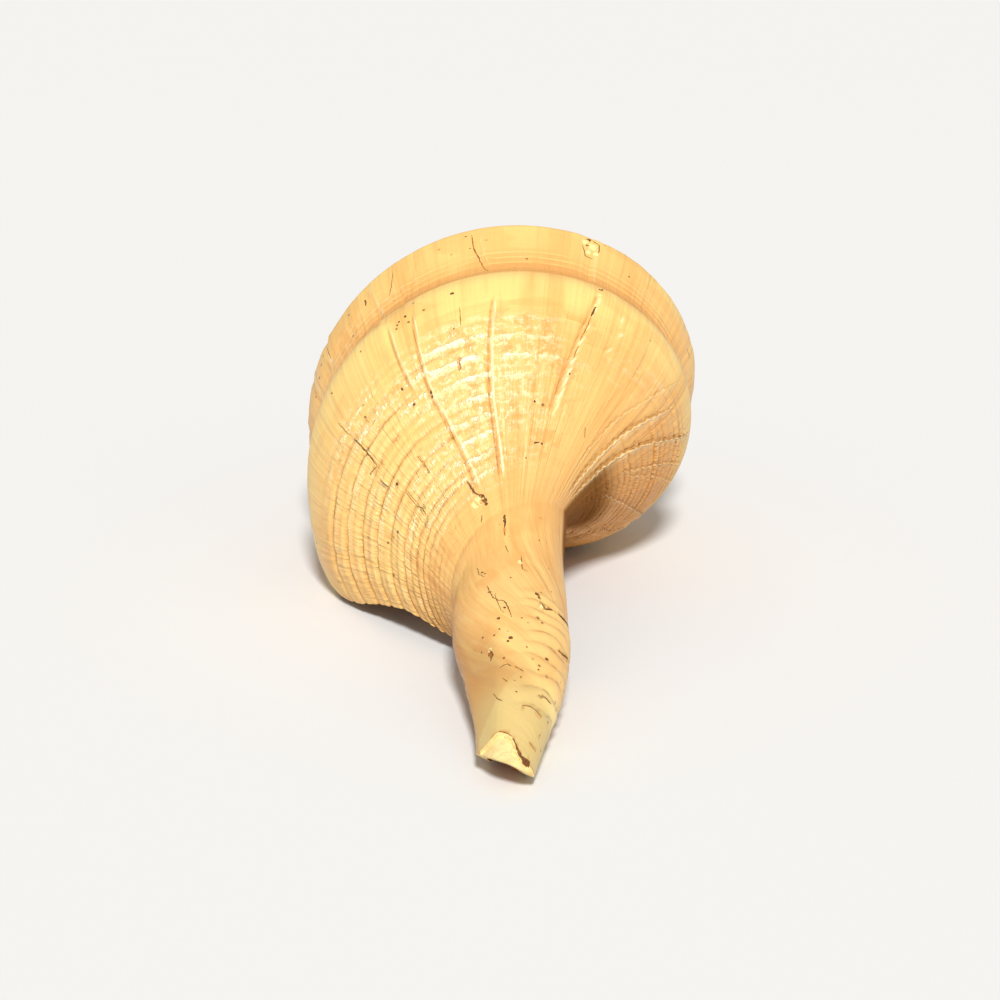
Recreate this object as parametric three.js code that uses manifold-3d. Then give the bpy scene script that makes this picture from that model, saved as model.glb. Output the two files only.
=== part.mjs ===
// Australian trumpet shell, the largest living sea snail's shell, lying on its mouth.
//
// The shell is one piece. Its outside is one profile, drawn in a half plane through the coiling
// axis, that turns about the axis and grows by the same ratio in every whorl. The hollow is a second
// outline that grows in the same way, and the siphonal canal is a groove along the front column.
// Depths run along the axis, from the point where the cone of the spire would end towards the canal.
// Units are millimetres and degrees. In the finished part +Z is up and the canal points to -Y.

import * as THREE from "three";
import { mergeVertices } from "three/addons/utils/BufferGeometryUtils.js";
import Module from "manifold-3d";

// Coiling
const whorlRatio = 1.5; // growth of radius and depth in one whorl
const whorls = 6.5;
const stepsPerWhorl = 36;
const spireSamples = [0, 0.16, 0.34, 0.46, 0.54, 0.66, 0.82, 1];

// The outside at the lip, as [radius, depth]
const keel = [111.5, 203];
const channel = [104.2, 238];
const rim = [108.6, 258];
const neck = [30.6, 385];
const suture = channel.map((value) => value / whorlRatio);
const ramp = [[75.5, 165], [84.5, 175.5], [96.5, 189]];
const keelFlank = [[112.3, 210.5], [110.3, 219.5], [106.6, 229]];
const channelWall = [[104.6, 246]];
const base = [[108.3, 269], [99.6, 291.5], [86.8, 311.5], [71, 330.3], [54.5, 349], [41.5, 366.5]];

// Spiral cords on the base
const smoothBand = 26; // bare width next to the rim
const cordPitch = 6;
const cordHeight = 1.1;
const cordFade = 0.7; // share of the base's length where they start to fade

// The front column and the canal. Left and up are as seen from the canal's tip.
const leftAzimuth = 31.65;
const upAzimuth = leftAzimuth + 90;
const waistRadius = 22.8;
const waistDepth = 340;
const canalDepths = [400, 420, 440, 460, 480, 500, 520, 540];
const canalHalfWidths = [26.6, 26.5, 23.9, 21.1, 17.6, 15, 13.2, 11.8];
const canalHalfHeights = [24, 23.5, 21, 18.2, 15.2, 12.6, 11, 10];
const canalShifts = [1.3, 0.1, -1.5, -2.1, -1.9, -0.8, 0.8, 2]; // to the left
const facetDirection = 38; // of the flat on the canal's left side, up from left
const facetShare = 0.84; // its distance from the middle, of the half width
const columnRows = 5;
const canalRows = 8;

// The broken front end: depth = tipDepth + tipSkew * right + tipRake * up
const tipDepth = 514.9;
const tipSkew = 0.59;
const tipRake = 1.31;
const chipCorners = [[-15, 506], [-3.5, 506], [1.6, 510], [3.4, 518], [9.7, 526], [14, 560], [-15, 560]];
const chipHeight = 8.6;
const chipSlope = -9; // degrees

// The hollow
const wall = 4.6;
const lipThinning = 1.2;
const shoulderLead = 5.5; // degrees the lip runs past its half plane at the rim
const neckLead = 28; // and at the neck
const leadReach = 70; // degrees before the lip where it starts to
const hollowTurns = 1.17;
const hollowStepsPerWhorl = 24;
const columnClearance = 25;
const neckWall = 6; // what is added to it towards the neck
const lipWall = 3; // the wall at the lip's edge
const hollowThinning = 30; // degrees before the lip where the wall starts to thin
const lipEdgeAngle = 4;
const mouthReach = 30; // degrees past the lip that the hollow's cutter runs

// The canal's groove: [depth, distance from the axis, direction, radius, slot half width]
const grooveStations = [
  [330, 34, 224, 9, 3.5],
  [350, 27, 231, 9.5, 3.8],
  [366, 21, 240, 9.5, 4.2],
  [385, 15, 248, 9.5, 4.5],
  [405, 11, 251, 10, 4.5],
  [430, 8, 254, 10.5, 4.5],
  [460, 6, 257, 10, 4.5],
  [490, 4.5, 260, 8.5, 4.6],
  [520, 3.5, 262, 7.4, 4.8],
  [550, 3, 263, 7, 5],
];
const grooveSides = 12;
const slotReach = 60;

// How the shell lies
const restRoll = 1.9;
const restPitch = 11.88;
const footDepth = 1.2; // worn flat where the shell touches what it lies on

const toRadians = THREE.MathUtils.degToRad;
const lerp = THREE.MathUtils.lerp;
const smoothstep = THREE.MathUtils.smoothstep;
const lastStep = Math.round(whorls * stepsPerWhorl);

// Growth at an angle past the lip, in degrees: 1 at the lip, and less before it.
function growth(angle) {
  return whorlRatio ** (angle / 360);
}

function curveThrough(points) {
  return new THREE.SplineCurve(points.map(([x, y]) => new THREE.Vector2(x, y)));
}

// A point of the shell's own frame, with the apex at +Z, from cylinder coordinates.
function place(radius, depth, azimuth) {
  const a = toRadians(azimuth);
  return new THREE.Vector3(radius * Math.cos(a), radius * Math.sin(a), -depth);
}

// The profile from the suture over the keel to the channel, where the next whorl covers it.
function spireRows() {
  const curve = curveThrough([suture, ...ramp, keel, ...keelFlank, channel]);
  return spireSamples.map((u) => curve.getPoint(u));
}

// The profile from the channel over the rim and the base to the neck, with its spiral cords.
function baseRows() {
  const toRim = curveThrough([channel, ...channelWall, rim]).getPoints(3).slice(1);
  const curve = curveThrough([rim, ...base, neck]);
  curve.arcLengthDivisions = 400;
  const length = curve.getLength();
  const rows = [0.35, 0.75].map((share) => curve.getPointAt((share * smoothBand) / length));
  const halfPitches = Math.floor((length - smoothBand) / (cordPitch / 2));
  for (let i = 0; i <= halfPitches; i++) {
    const u = Math.min((smoothBand + (i * cordPitch) / 2) / length, 1);
    const along = curve.getTangentAt(u);
    const outward = new THREE.Vector2(along.y, -along.x);
    const height = (i % 2 ? 0.5 : -0.5) * cordHeight * (1 - smoothstep(u, cordFade, 1));
    rows.push(curve.getPointAt(u).addScaledVector(outward, height));
  }
  return [...toRim, ...rows, new THREE.Vector2(...neck)];
}

const spire = spireRows();
const bodyBase = baseRows();
const canalCurves = [canalHalfWidths, canalHalfHeights, canalShifts].map((values) =>
  curveThrough(values.map((value, i) => [canalDepths[i], value])),
);

// The canal's outline at a share u of its length, at an azimuth.
function canalPoint(azimuth, halfWidth, halfHeight, shift, depth, facet) {
  const turn = toRadians(azimuth - leftAzimuth);
  const flat = new THREE.Vector2(1, 0).rotateAround(new THREE.Vector2(), toRadians(facetDirection));
  const p = new THREE.Vector2(halfWidth * Math.cos(turn), halfHeight * Math.sin(turn));
  const excess = Math.max(0, p.dot(flat) - facetShare * halfWidth);
  p.addScaledVector(flat, -excess * facet);
  return place(shift + p.x, depth, leftAzimuth).add(place(p.y, 0, upAzimuth));
}

function canalRow(u, azimuth) {
  const [width, height, shift] = canalCurves.map((curve) => curve.getPoint(u));
  return canalPoint(azimuth, width.y, height.y, shift.y, width.x, smoothstep(u, 0, 0.4));
}

// The column between the neck of a whorl and the canal.
function columnRow(v, scale, azimuth) {
  const depth = lerp(neck[1] * scale, canalDepths[0], v);
  const widening = smoothstep(depth, waistDepth, canalDepths[0]);
  const column = canalPoint(
    azimuth,
    lerp(waistRadius, canalHalfWidths[0], widening),
    lerp(waistRadius, canalHalfHeights[0], widening),
    canalShifts[0] * widening,
    depth,
    0,
  );
  const own = place(neck[0] * scale, depth, azimuth);
  return own.lerp(column, smoothstep(v, 0, 0.7));
}

// How far the lip's edge runs past its half plane, at a share of the base from the rim.
function lipLead(share) {
  return shoulderLead * (1 - smoothstep(share, 0, 0.45)) + neckLead * smoothstep(share, 0.62, 1);
}

function closedMesh(points, triangles) {
  const geometry = new THREE.BufferGeometry().setFromPoints(points);
  geometry.setIndex(triangles.flat());
  return geometry;
}

// The outside as one closed surface, before the hollow is cut.
function outsideGeometry() {
  const points = [];
  const triangles = [];
  const grid = new Map();
  const key = (step, row) => step * 1000 + row;
  const add = (point) => points.push(point) - 1;
  const quad = (a, b, c, d) => triangles.push([a, b, c], [a, c, d]);

  const lastSpireRow = spire.length - 1;
  const lastBaseRow = lastSpireRow + bodyBase.length;
  const firstCanalRow = lastBaseRow + columnRows;
  const lastRow = firstCanalRow + canalRows;
  const bodyStart = lastStep - stepsPerWhorl;

  for (let step = 0; step <= lastStep; step++) {
    const angle = ((step - lastStep) * 360) / stepsPerWhorl;
    const scale = growth(angle);
    const azimuth = -angle;
    const closesLip = step === lastStep;
    const nearLip = smoothstep(angle, -leadReach, 0);
    spire.forEach((p, row) => {
      const shared = row === 0 && step >= stepsPerWhorl;
      const inShare = smoothstep(row, 0, 3);
      const inset = closesLip ? lipThinning * inShare : 0;
      const lead = shoulderLead * inShare * nearLip;
      const index = shared
        ? grid.get(key(step - stepsPerWhorl, lastSpireRow))
        : add(place(p.x * scale - inset, p.y * scale, azimuth - lead));
      grid.set(key(step, row), index);
    });
    if (step < bodyStart) continue;
    bodyBase.forEach((p, i) => {
      const inset = closesLip ? lipThinning : 0;
      const lead = lipLead(i / (bodyBase.length - 1)) * nearLip;
      const point = place(p.x * scale - inset, p.y * scale, azimuth - lead);
      grid.set(key(step, lastSpireRow + 1 + i), add(point));
    });
    for (let i = 1; i < columnRows; i++) {
      const v = i / columnRows;
      const lead = neckLead * lerp(nearLip, 1, smoothstep(v, 0, 1));
      grid.set(key(step, lastBaseRow + i), add(columnRow(v, scale, azimuth - lead)));
    }
    for (let i = 0; i <= canalRows; i++) {
      const index = closesLip
        ? grid.get(key(bodyStart, firstCanalRow + i))
        : add(canalRow(i / canalRows, azimuth - neckLead));
      grid.set(key(step, firstCanalRow + i), index);
    }
  }

  for (let step = 0; step < lastStep; step++) {
    const rows = step < bodyStart ? lastSpireRow : lastRow;
    for (let row = 0; row < rows; row++)
      quad(
        grid.get(key(step, row)),
        grid.get(key(step + 1, row)),
        grid.get(key(step + 1, row + 1)),
        grid.get(key(step, row + 1)),
      );
  }

  // The apex
  const tip = add(place(0, suture[1] * growth((-lastStep * 360) / stepsPerWhorl) * 0.6, 0));
  const apexLoop = [];
  for (let step = 0; step <= stepsPerWhorl; step++) apexLoop.push(grid.get(key(step, 0)));
  for (let row = lastSpireRow - 1; row > 0; row--) apexLoop.push(grid.get(key(0, row)));
  apexLoop.forEach((index, i) =>
    triangles.push([tip, apexLoop[(i + 1) % apexLoop.length], index]),
  );

  // The front end of the canal
  const end = canalRow(1, 0).add(canalRow(1, 180)).multiplyScalar(0.5);
  const centre = add(end);
  for (let step = bodyStart; step < lastStep; step++)
    triangles.push([centre, grid.get(key(step, lastRow)), grid.get(key(step + 1, lastRow))]);

  // The face of the lip, between the newest edge and the whorl before it
  const face = [];
  for (let row = 0; row <= firstCanalRow; row++) face.push(grid.get(key(lastStep, row)));
  for (let row = firstCanalRow - 1; row > lastSpireRow; row--)
    face.push(grid.get(key(bodyStart, row)));
  triangles.push(...flatTriangles(face, points));
  return closedMesh(points, triangles);
}

// Triangles over a closed loop of points that lies near a half plane through the axis.
function flatTriangles(loop, points) {
  const flat = loop.map((index) => {
    const p = points[index];
    return new THREE.Vector2(Math.hypot(p.x, p.y), p.z);
  });
  return THREE.ShapeUtils.triangulateShape(flat, []).map((face) => face.map((i) => loop[i]));
}

// The outline of the hollow, as [radius, depth], first along the outer wall.
function hollowOutline(thickness) {
  const outer = curveThrough([suture, ...ramp, keel, ...keelFlank, channel, ...channelWall, rim,
    ...base, neck]);
  const along = [0.2, 0.27, 0.34, 0.41, 0.48, 0.55, 0.62, 0.69, 0.76, 0.83, 0.9, 0.965];
  const outside = along.map((u) => {
    const inward = outer.getTangent(u).rotateAround(new THREE.Vector2(), Math.PI / 2);
    const distance = thickness + neckWall * smoothstep(u, 0.66, 0.92);
    return outer.getPoint(u).addScaledVector(inward, distance);
  });
  const inside = [
    [columnClearance, 350],
    [columnClearance, 300],
    [columnClearance, 262],
    [30, 244.5],
    [47.6, 221.5],
    [58.6, 208.5],
    [67, 195],
    [72.6, 182],
    [74.2, 175.5],
  ].map(([x, y]) => new THREE.Vector2(x, y));
  return [...outside, ...inside];
}

// A closed surface through rings of points, each with as many points as the next.
function loftGeometry(rings, capTriangles) {
  const count = rings[0].length;
  const triangles = [];
  for (let ring = 0; ring + 1 < rings.length; ring++)
    for (let i = 0; i < count; i++) {
      const next = (i + 1) % count;
      const [a, b] = [ring * count + i, ring * count + next];
      triangles.push([a, b + count, b], [a, a + count, b + count]);
    }
  const last = (rings.length - 1) * count;
  capTriangles.forEach(([a, b, c]) => {
    triangles.push([a, b, c]);
    triangles.push([last + a, last + c, last + b]);
  });
  return closedMesh(rings.flat(), triangles);
}

// The hollow inside the whorls, and a little past the lip.
function hollowGeometry() {
  const back = Math.round(hollowTurns * hollowStepsPerWhorl);
  const angles = [];
  for (let step = -back; step < 0; step++) angles.push((step * 360) / hollowStepsPerWhorl);
  angles.push(0, lipEdgeAngle, mouthReach / 2, mouthReach);
  const rings = angles.map((angle) => {
    const scale = growth(angle);
    const thickness = lerp(wall, lipWall, smoothstep(angle, -hollowThinning, lipEdgeAngle));
    return hollowOutline(thickness).map((p) => place(p.x * scale, p.y * scale, -angle));
  });
  return loftGeometry(rings, THREE.ShapeUtils.triangulateShape(hollowOutline(wall), []));
}

// The groove of the canal: a round bed with a slot that opens to the outside.
function grooveGeometry() {
  const rings = grooveStations.map(([depth, distance, direction, radius, slot]) => {
    const azimuth = leftAzimuth + 180 - direction;
    const centre = place(distance, depth, azimuth);
    const out = place(1, 0, azimuth);
    const side = place(1, 0, azimuth + 90);
    const start = Math.asin(slot / radius);
    const ring = [];
    for (let i = 0; i <= grooveSides; i++) {
      const turn = lerp(start, 2 * Math.PI - start, i / grooveSides);
      ring.push(
        centre.clone().addScaledVector(out, radius * Math.cos(turn))
          .addScaledVector(side, radius * Math.sin(turn)),
      );
    }
    for (const sign of [-1, 1])
      ring.push(centre.clone().addScaledVector(out, slotReach).addScaledVector(side, sign * slot));
    return ring;
  });
  const flat = rings[0].map((p) => new THREE.Vector2(p.x, p.y));
  return loftGeometry(rings, THREE.ShapeUtils.triangulateShape(flat, []));
}

// A frame on the canal's end: x to the right, y towards the apex and z up.
function tipFrame(right, depth, up) {
  const origin = place(-right, depth, leftAzimuth).add(place(up, 0, upAzimuth));
  const axes = [place(-1, 0, leftAzimuth), new THREE.Vector3(0, 0, 1), place(1, 0, upAzimuth)];
  return new THREE.Matrix4().makeBasis(...axes).setPosition(origin);
}

// What lies beyond the broken end.
function tipGeometry() {
  const size = 120;
  const outward = new THREE.Vector3(-tipSkew, -1, -tipRake).normalize();
  const turned = new THREE.Quaternion().setFromUnitVectors(new THREE.Vector3(0, -1, 0), outward);
  return new THREE.BoxGeometry(size, size, size)
    .translate(0, -size / 2, 0)
    .applyQuaternion(turned)
    .applyMatrix4(tipFrame(0, tipDepth, 0));
}

// The layer that has flaked off the top of the broken end.
function chipGeometry() {
  const shape = new THREE.Shape(chipCorners.map(([x, y]) => new THREE.Vector2(x, tipDepth - y)));
  return new THREE.ExtrudeGeometry(shape, { depth: 20, bevelEnabled: false })
    .rotateX(toRadians(chipSlope))
    .applyMatrix4(tipFrame(0, tipDepth, chipHeight));
}

const wasm = await Module();
wasm.setup();

function solidOf(geometry) {
  const bare = geometry.clone();
  bare.deleteAttribute("normal");
  bare.deleteAttribute("uv");
  const merged = mergeVertices(bare, 1e-4);
  return new wasm.Manifold(
    new wasm.Mesh({
      numProp: 3,
      vertProperties: merged.attributes.position.array,
      triVerts: new Uint32Array(merged.index.array),
    }),
  );
}

function geometryOf(solid) {
  const mesh = solid.getMesh();
  const geometry = new THREE.BufferGeometry();
  geometry.setAttribute("position", new THREE.BufferAttribute(mesh.vertProperties, 3));
  geometry.setIndex(new THREE.BufferAttribute(mesh.triVerts, 1));
  return geometry;
}

// Turns the shell from its own frame to how it lies: canal to -Y, back up.
function lyingMatrix() {
  const left = place(1, 0, leftAzimuth);
  const up = place(1, 0, upAzimuth);
  const back = new THREE.Vector3(0, 0, 1);
  const upright = new THREE.Matrix4().makeBasis(left.negate(), back, up).transpose();
  const roll = new THREE.Matrix4().makeRotationY(toRadians(restRoll));
  const pitch = new THREE.Matrix4().makeRotationX(toRadians(restPitch));
  return pitch.multiply(roll).multiply(upright);
}

function carvedSolid() {
  return solidOf(outsideGeometry())
    .subtract(solidOf(hollowGeometry()))
    .subtract(solidOf(grooveGeometry()))
    .subtract(solidOf(tipGeometry()))
    .subtract(solidOf(chipGeometry()));
}

function shellGeometry() {
  const geometry = geometryOf(carvedSolid()).applyMatrix4(lyingMatrix());
  geometry.computeBoundingBox();
  const { min, max } = geometry.boundingBox;
  geometry.translate(-(min.x + max.x) / 2, -(min.y + max.y) / 2, -min.z - footDepth);
  const floor = new THREE.BoxGeometry(1000, 1000, 200).translate(0, 0, -100);
  const standing = geometryOf(solidOf(geometry).subtract(solidOf(floor)));
  standing.computeVertexNormals();
  return standing;
}

const shellMaterial = new THREE.MeshStandardMaterial({
  color: 0xf6cf88,
  roughness: 0.55,
  metalness: 0,
});

const shell = new THREE.Mesh(shellGeometry(), shellMaterial);
shell.name = "shell";

const group = new THREE.Group();
group.add(shell);

export default group;
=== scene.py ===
# Australian trumpet shell, lying on its mouth on a pale floor.
#
# The shell is shaped in its own frame in millimetres, with the apex at +Z, then laid down in metres.
# Its outside is a sheet of points that know how many whorls they stand before the lip ("turns") and how
# far across the profile they are from the rim ("across"). A Geometry Nodes tree coils the sheet and
# raises its relief. The hollow, the canal's groove, the broken end, cracks and pits are then cut from it.
import math

import bmesh
import bpy
import numpy as np
from mathutils import Matrix, Vector
from mathutils.bvhtree import BVHTree
from mathutils.geometry import tessellate_polygon


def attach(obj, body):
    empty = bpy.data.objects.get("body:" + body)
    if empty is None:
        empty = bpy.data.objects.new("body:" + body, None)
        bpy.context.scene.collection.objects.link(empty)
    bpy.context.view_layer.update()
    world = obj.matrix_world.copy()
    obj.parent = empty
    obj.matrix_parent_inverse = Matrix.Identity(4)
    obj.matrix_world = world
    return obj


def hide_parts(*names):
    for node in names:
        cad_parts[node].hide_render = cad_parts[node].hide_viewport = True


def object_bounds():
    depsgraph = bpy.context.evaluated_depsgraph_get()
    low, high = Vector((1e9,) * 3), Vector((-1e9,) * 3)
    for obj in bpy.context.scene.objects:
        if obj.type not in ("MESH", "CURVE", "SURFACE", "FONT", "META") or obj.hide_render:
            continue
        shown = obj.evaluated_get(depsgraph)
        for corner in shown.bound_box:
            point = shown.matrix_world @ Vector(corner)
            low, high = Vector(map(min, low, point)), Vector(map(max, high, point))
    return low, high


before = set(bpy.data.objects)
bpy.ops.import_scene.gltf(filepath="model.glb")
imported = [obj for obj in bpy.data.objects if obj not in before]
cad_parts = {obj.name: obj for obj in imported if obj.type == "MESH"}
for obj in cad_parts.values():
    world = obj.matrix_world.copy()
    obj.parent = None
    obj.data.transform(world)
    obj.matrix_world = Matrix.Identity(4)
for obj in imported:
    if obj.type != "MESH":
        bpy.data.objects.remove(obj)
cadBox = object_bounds()
print("frame loaded")

# Sizes in millimetres and degrees. The profile is the one at the lip, as [radius, depth].
shell = {
    "growthPerWhorl": 1.5,
    "whorls": 6.5,
    "columnsPerWhorl": 288,
    "suture": [69.47, 158.67],
    "ramp": [[75.5, 165], [84.5, 175.5], [96.5, 189]],
    "keel": [111.5, 203],
    "keelFlank": [[112.3, 210.5], [110.3, 219.5], [106.6, 229]],
    "channel": [104.2, 238],
    "channelWall": [[104.6, 246]],
    "rim": [108.6, 258],
    "base": [[108.3, 269], [99.6, 291.5], [86.8, 311.5], [71, 330.3], [54.5, 349], [41.5, 366.5]],
    "neck": [30.6, 385],
    "leftAzimuth": 31.65,
    "waistRadius": 22.8,
    "waistDepth": 340,
    "canalDepths": [400, 420, 440, 460, 480, 500, 520, 540],
    "canalHalfWidths": [26.6, 26.5, 23.9, 21.1, 17.6, 15, 13.2, 11.8],
    "canalHalfHeights": [24, 23.5, 21, 18.2, 15.2, 12.6, 11, 10],
    "canalShifts": [1.3, 0.1, -1.5, -2.1, -1.9, -0.8, 0.8, 2],
    "facetDirection": 38,
    "facetShare": 0.84,
    "facetSoftness": 1.8,
    "lipThinning": 1.2,
    "thinningReach": 10,  # degrees before the lip
    "shoulderLead": 5.5,  # degrees that the lip runs past its half plane at the rim
    "neckLead": 28,
    "leadReach": 70,
    "sutureReach": 35,
    "lipNotch": 2.2,  # degrees that the lip is worn back below the rim
    "canalFrom": [330, 400],  # the depths from which it looks like the canal
    "paleFrom": [460, 486],  # the depths from which the canal's end is pale
    "canalTwist": 1.3e-5,  # turns that the growth lines turn by, times the squared depth below the neck
}

# Rows of the sheet across the profile: [where a stretch ends, rows in it]
rowStretches = {
    "start": -118.6,
    "spire": [[-76, 9], [-40, 18], [-20.7, 18]],
    "rim": [[0, 14]],
    "base": [[151.8, 110]],
    "columnRows": 28,
    "canal": [[408, 5], [488, 54], [540, 13]],  # by depth
    "coarse": [2, 3],  # columns and rows that one face takes up on the spire; on the canal only columns
}

# Furrows along the growth lines, which get closer columns: [turns before the lip, width in turns]
denseColumns = [[0.302, 0.02], [0.24, 0.025], [0.216, 0.015], [0.385, 0.02], [0.52, 0.05], [0.6, 0.04]]
denseGain = 1.4  # how many more columns there are at such a furrow's middle

# Columns lean with the growth lines on the older part of the last whorl: how much, from and to which across
lean = {"turns": 0.065, "from": 10, "to": 105, "start": [-0.5, -0.28], "end": [-0.97, -0.76]}


def lerp(a, b, share):
    return a + (b - a) * share


def smooth(value, low, high):
    share = np.clip((np.asarray(value, float) - low) / (high - low), 0, 1)
    return share * share * (3 - 2 * share)


def curveThrough(points, shares):
    knots = np.array(points, float)
    last = len(knots) - 1
    along = np.clip(np.asarray(shares, float), 0, 1) * last
    cell = np.minimum(along.astype(int), last - 1)
    w = (along - cell)[:, None]
    before, start, end, after = (knots[np.clip(cell + k, 0, last)] for k in (-1, 0, 1, 2))
    slopeIn = (end - before) / 2
    slopeOut = (after - start) / 2
    cubic = 2 * start - 2 * end + slopeIn + slopeOut
    square = 3 * end - 3 * start - 2 * slopeIn - slopeOut
    return cubic * w**3 + square * w**2 + slopeIn * w + start


upperKnots = [shell["suture"], *shell["ramp"], shell["keel"], *shell["keelFlank"], shell["channel"]]
middleKnots = [shell["channel"], *shell["channelWall"], shell["rim"]]
lowerKnots = [shell["rim"], *shell["base"], shell["neck"]]


# The profile as one long list of points with their distance from the rim, measured across it
def measuredProfile():
    fine = np.linspace(0, 1, 600)
    upper, middle, lower = (curveThrough(knots, fine) for knots in (upperKnots, middleKnots, lowerKnots))
    points = np.vstack([upper, middle[1:], lower[1:]])
    steps = np.linalg.norm(np.diff(points, axis=0), axis=1)
    across = np.concatenate([[0], np.cumsum(steps)])
    rimAt = len(upper) + len(middle) - 2
    return points, across - across[rimAt]


profilePoints, profileAcross = measuredProfile()
neckAcross = profileAcross[-1]
sutureAcross = profileAcross[0]


def profileAt(across):
    return np.stack([np.interp(across, profileAcross, profilePoints[:, k]) for k in (0, 1)], axis=-1)


def growth(turns):
    return shell["growthPerWhorl"] ** np.asarray(turns, float)


def onAxis(radius, depth, azimuth):
    a, depth = np.radians(azimuth), np.asarray(depth, float)
    return np.stack(np.broadcast_arrays(radius * np.cos(a), radius * np.sin(a), -depth), axis=-1)


def pastSuture(across):
    return smooth(across, sutureAcross, sutureAcross + shell["sutureReach"])


# How far the lip's edge runs past its half plane, in degrees
def lipLead(turns, across):
    share = across / neckAcross
    overBase = shell["shoulderLead"] * (1 - smooth(share, 0, 0.45))
    overBase = overBase + shell["neckLead"] * smooth(share, 0.62, 1)
    overSpire = shell["shoulderLead"] * pastSuture(across)
    nearLip = smooth(turns * 360, -shell["leadReach"], 0)
    return np.where(across > 0, overBase, overSpire) * nearLip


# A point on the whorls
def whorlPoint(turns, across):
    size = growth(turns)
    p = profileAt(across)
    return onAxis(p[..., 0] * size, p[..., 1] * size, -np.asarray(turns) * 360 - lipLead(turns, across))


# A point on the column or the canal, at an azimuth and a depth
def canalPoint(azimuth, depth, facet):
    share = (depth - shell["canalDepths"][0]) / (shell["canalDepths"][-1] - shell["canalDepths"][0])
    sizes = [shell["canalHalfWidths"], shell["canalHalfHeights"], shell["canalShifts"]]
    halfWidth, halfHeight, shift = (curveThrough([[v] for v in values], share)[:, 0] for values in sizes)
    widening = smooth(depth, shell["waistDepth"], shell["canalDepths"][0])
    halfWidth = np.where(share < 0, lerp(shell["waistRadius"], halfWidth, widening), halfWidth)
    halfHeight = np.where(share < 0, lerp(shell["waistRadius"], halfHeight, widening), halfHeight)
    shift = np.where(share < 0, shift * widening, shift)
    turn = np.radians(azimuth - shell["leftAzimuth"])
    x, y = halfWidth * np.cos(turn), halfHeight * np.sin(turn)
    direction = math.radians(shell["facetDirection"])
    past = x * math.cos(direction) + y * math.sin(direction) - shell["facetShare"] * halfWidth
    excess = (past + np.sqrt(past**2 + shell["facetSoftness"] ** 2)) / 2
    x = x - excess * facet * math.cos(direction) + shift
    y = y - excess * facet * math.sin(direction)
    left = math.radians(shell["leftAzimuth"])
    turned = [x * math.cos(left) - y * math.sin(left), x * math.sin(left) + y * math.cos(left)]
    return np.stack([*turned, -depth], axis=-1)


# Furrows of growth that stand out: [half width, depth, then points as [turns, across]]
furrows = [
    [1.1, 1.15, [-0.309, 17], [-0.302, 50], [-0.296, 86], [-0.297, 136]],
    [1.1, 1.1, [-0.24, 10], [-0.233, 69], [-0.249, 136]],
    [1.1, 1.0, [-0.216, 9], [-0.218, 66]],
    [1.3, 1.1, [-0.4, 4], [-0.387, 52], [-0.376, 100]],
    [1.6, 0.3, [-0.345, 30], [-0.338, 75], [-0.336, 120]],
    [1.4, 0.35, [-0.357, 45], [-0.35, 100]],
    [1.5, 0.4, [-0.437, 12], [-0.425, 60]],
    [1.4, 0.35, [-0.47, 20], [-0.452, 90]],
    [1.1, 0.9, [-0.424, 13], [-0.421, 36]],
    [1.1, 0.9, [-0.43, 18], [-0.426, 34], [-0.416, 56]],
    [1.8, 0.8, [-0.7, 8], [-0.69, 60], [-0.735, 128]],
    [1.8, 0.8, [-0.8, 6], [-0.79, 60], [-0.82, 125]],
    [1.6, 0.6, [-0.92, 10], [-0.91, 60], [-0.93, 120]],
    [1.4, 0.4, [-0.05, 12], [-0.045, 60], [-0.055, 110]],
    [1.4, 0.35, [-0.11, 20], [-0.105, 70], [-0.115, 125]],
    [1.3, 0.6, [-0.292, -52], [-0.296, -30], [-0.304, -10]],
    [1.4, 0.5, [-0.24, -44], [-0.231, -18]],
    [1.8, 0.7, [-0.39, -60], [-0.392, -6]],
    [1.6, 0.8, [-0.195, -56], [-0.197, -36], [-0.208, 8]],
    [1.8, 0.9, [-0.145, -70], [-0.141, -48], [-0.135, -22]],
    [1.3, 0.5, [-0.22, -40], [-0.233, 8]],
    [1.4, 0.5, [-0.163, -50], [-0.168, -16]],
    [1.6, 0.7, [-0.115, -62], [-0.113, -20]],
    [1.6, 0.6, [-0.08, -66], [-0.076, -18]],
]

# Old edges of the lip, which the newer shell starts under: the same values
ridges = [
    [1.4, 0.8, [-0.53, 30], [-0.519, 52], [-0.512, 62], [-0.501, 81], [-0.494, 100], [-0.49, 119],
     [-0.49, 142]],
    [1.5, 0.9, [-0.583, 6], [-0.566, 38], [-0.553, 54], [-0.534, 77], [-0.52, 101], [-0.514, 120],
     [-0.51, 144]],
    [1.5, 0.5, [-0.7, 12], [-0.679, 35], [-0.649, 71], [-0.621, 93], [-0.583, 116]],
    [1.2, 0.18, [-0.483, 34], [-0.478, 46], [-0.466, 84], [-0.46, 124]],
    [1.2, 0.4, [-0.615, 14], [-0.588, 52], [-0.57, 81], [-0.555, 100]],
    [1.2, 0.25, [-0.64, 16], [-0.628, 31], [-0.597, 65], [-0.575, 92]],
    [1.1, 0.14, [-0.487, 8], [-0.475, 38], [-0.458, 56], [-0.442, 80], [-0.436, 104]],
    [1.1, 0.22, [-0.52, 8], [-0.501, 42], [-0.49, 60], [-0.479, 76], [-0.47, 96], [-0.466, 120]],
]

# How strong the spiral cords and the growth lines are along the last whorl, as [turns, strength]
cordStrengths = [[-1, 0.9], [-0.78, 1], [-0.57, 1], [-0.53, 0.55], [-0.49, 0.25], [-0.42, 0.25],
                 [-0.3, 0.38], [-0.2, 0.7], [-0.13, 1.05], [-0.03, 1], [0, 0.6]]
growthStrengths = [[-1, 0.9], [-0.7, 1], [-0.55, 1], [-0.45, 0.85], [-0.3, 0.45], [-0.12, 0.45], [0, 0.7]]

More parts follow.
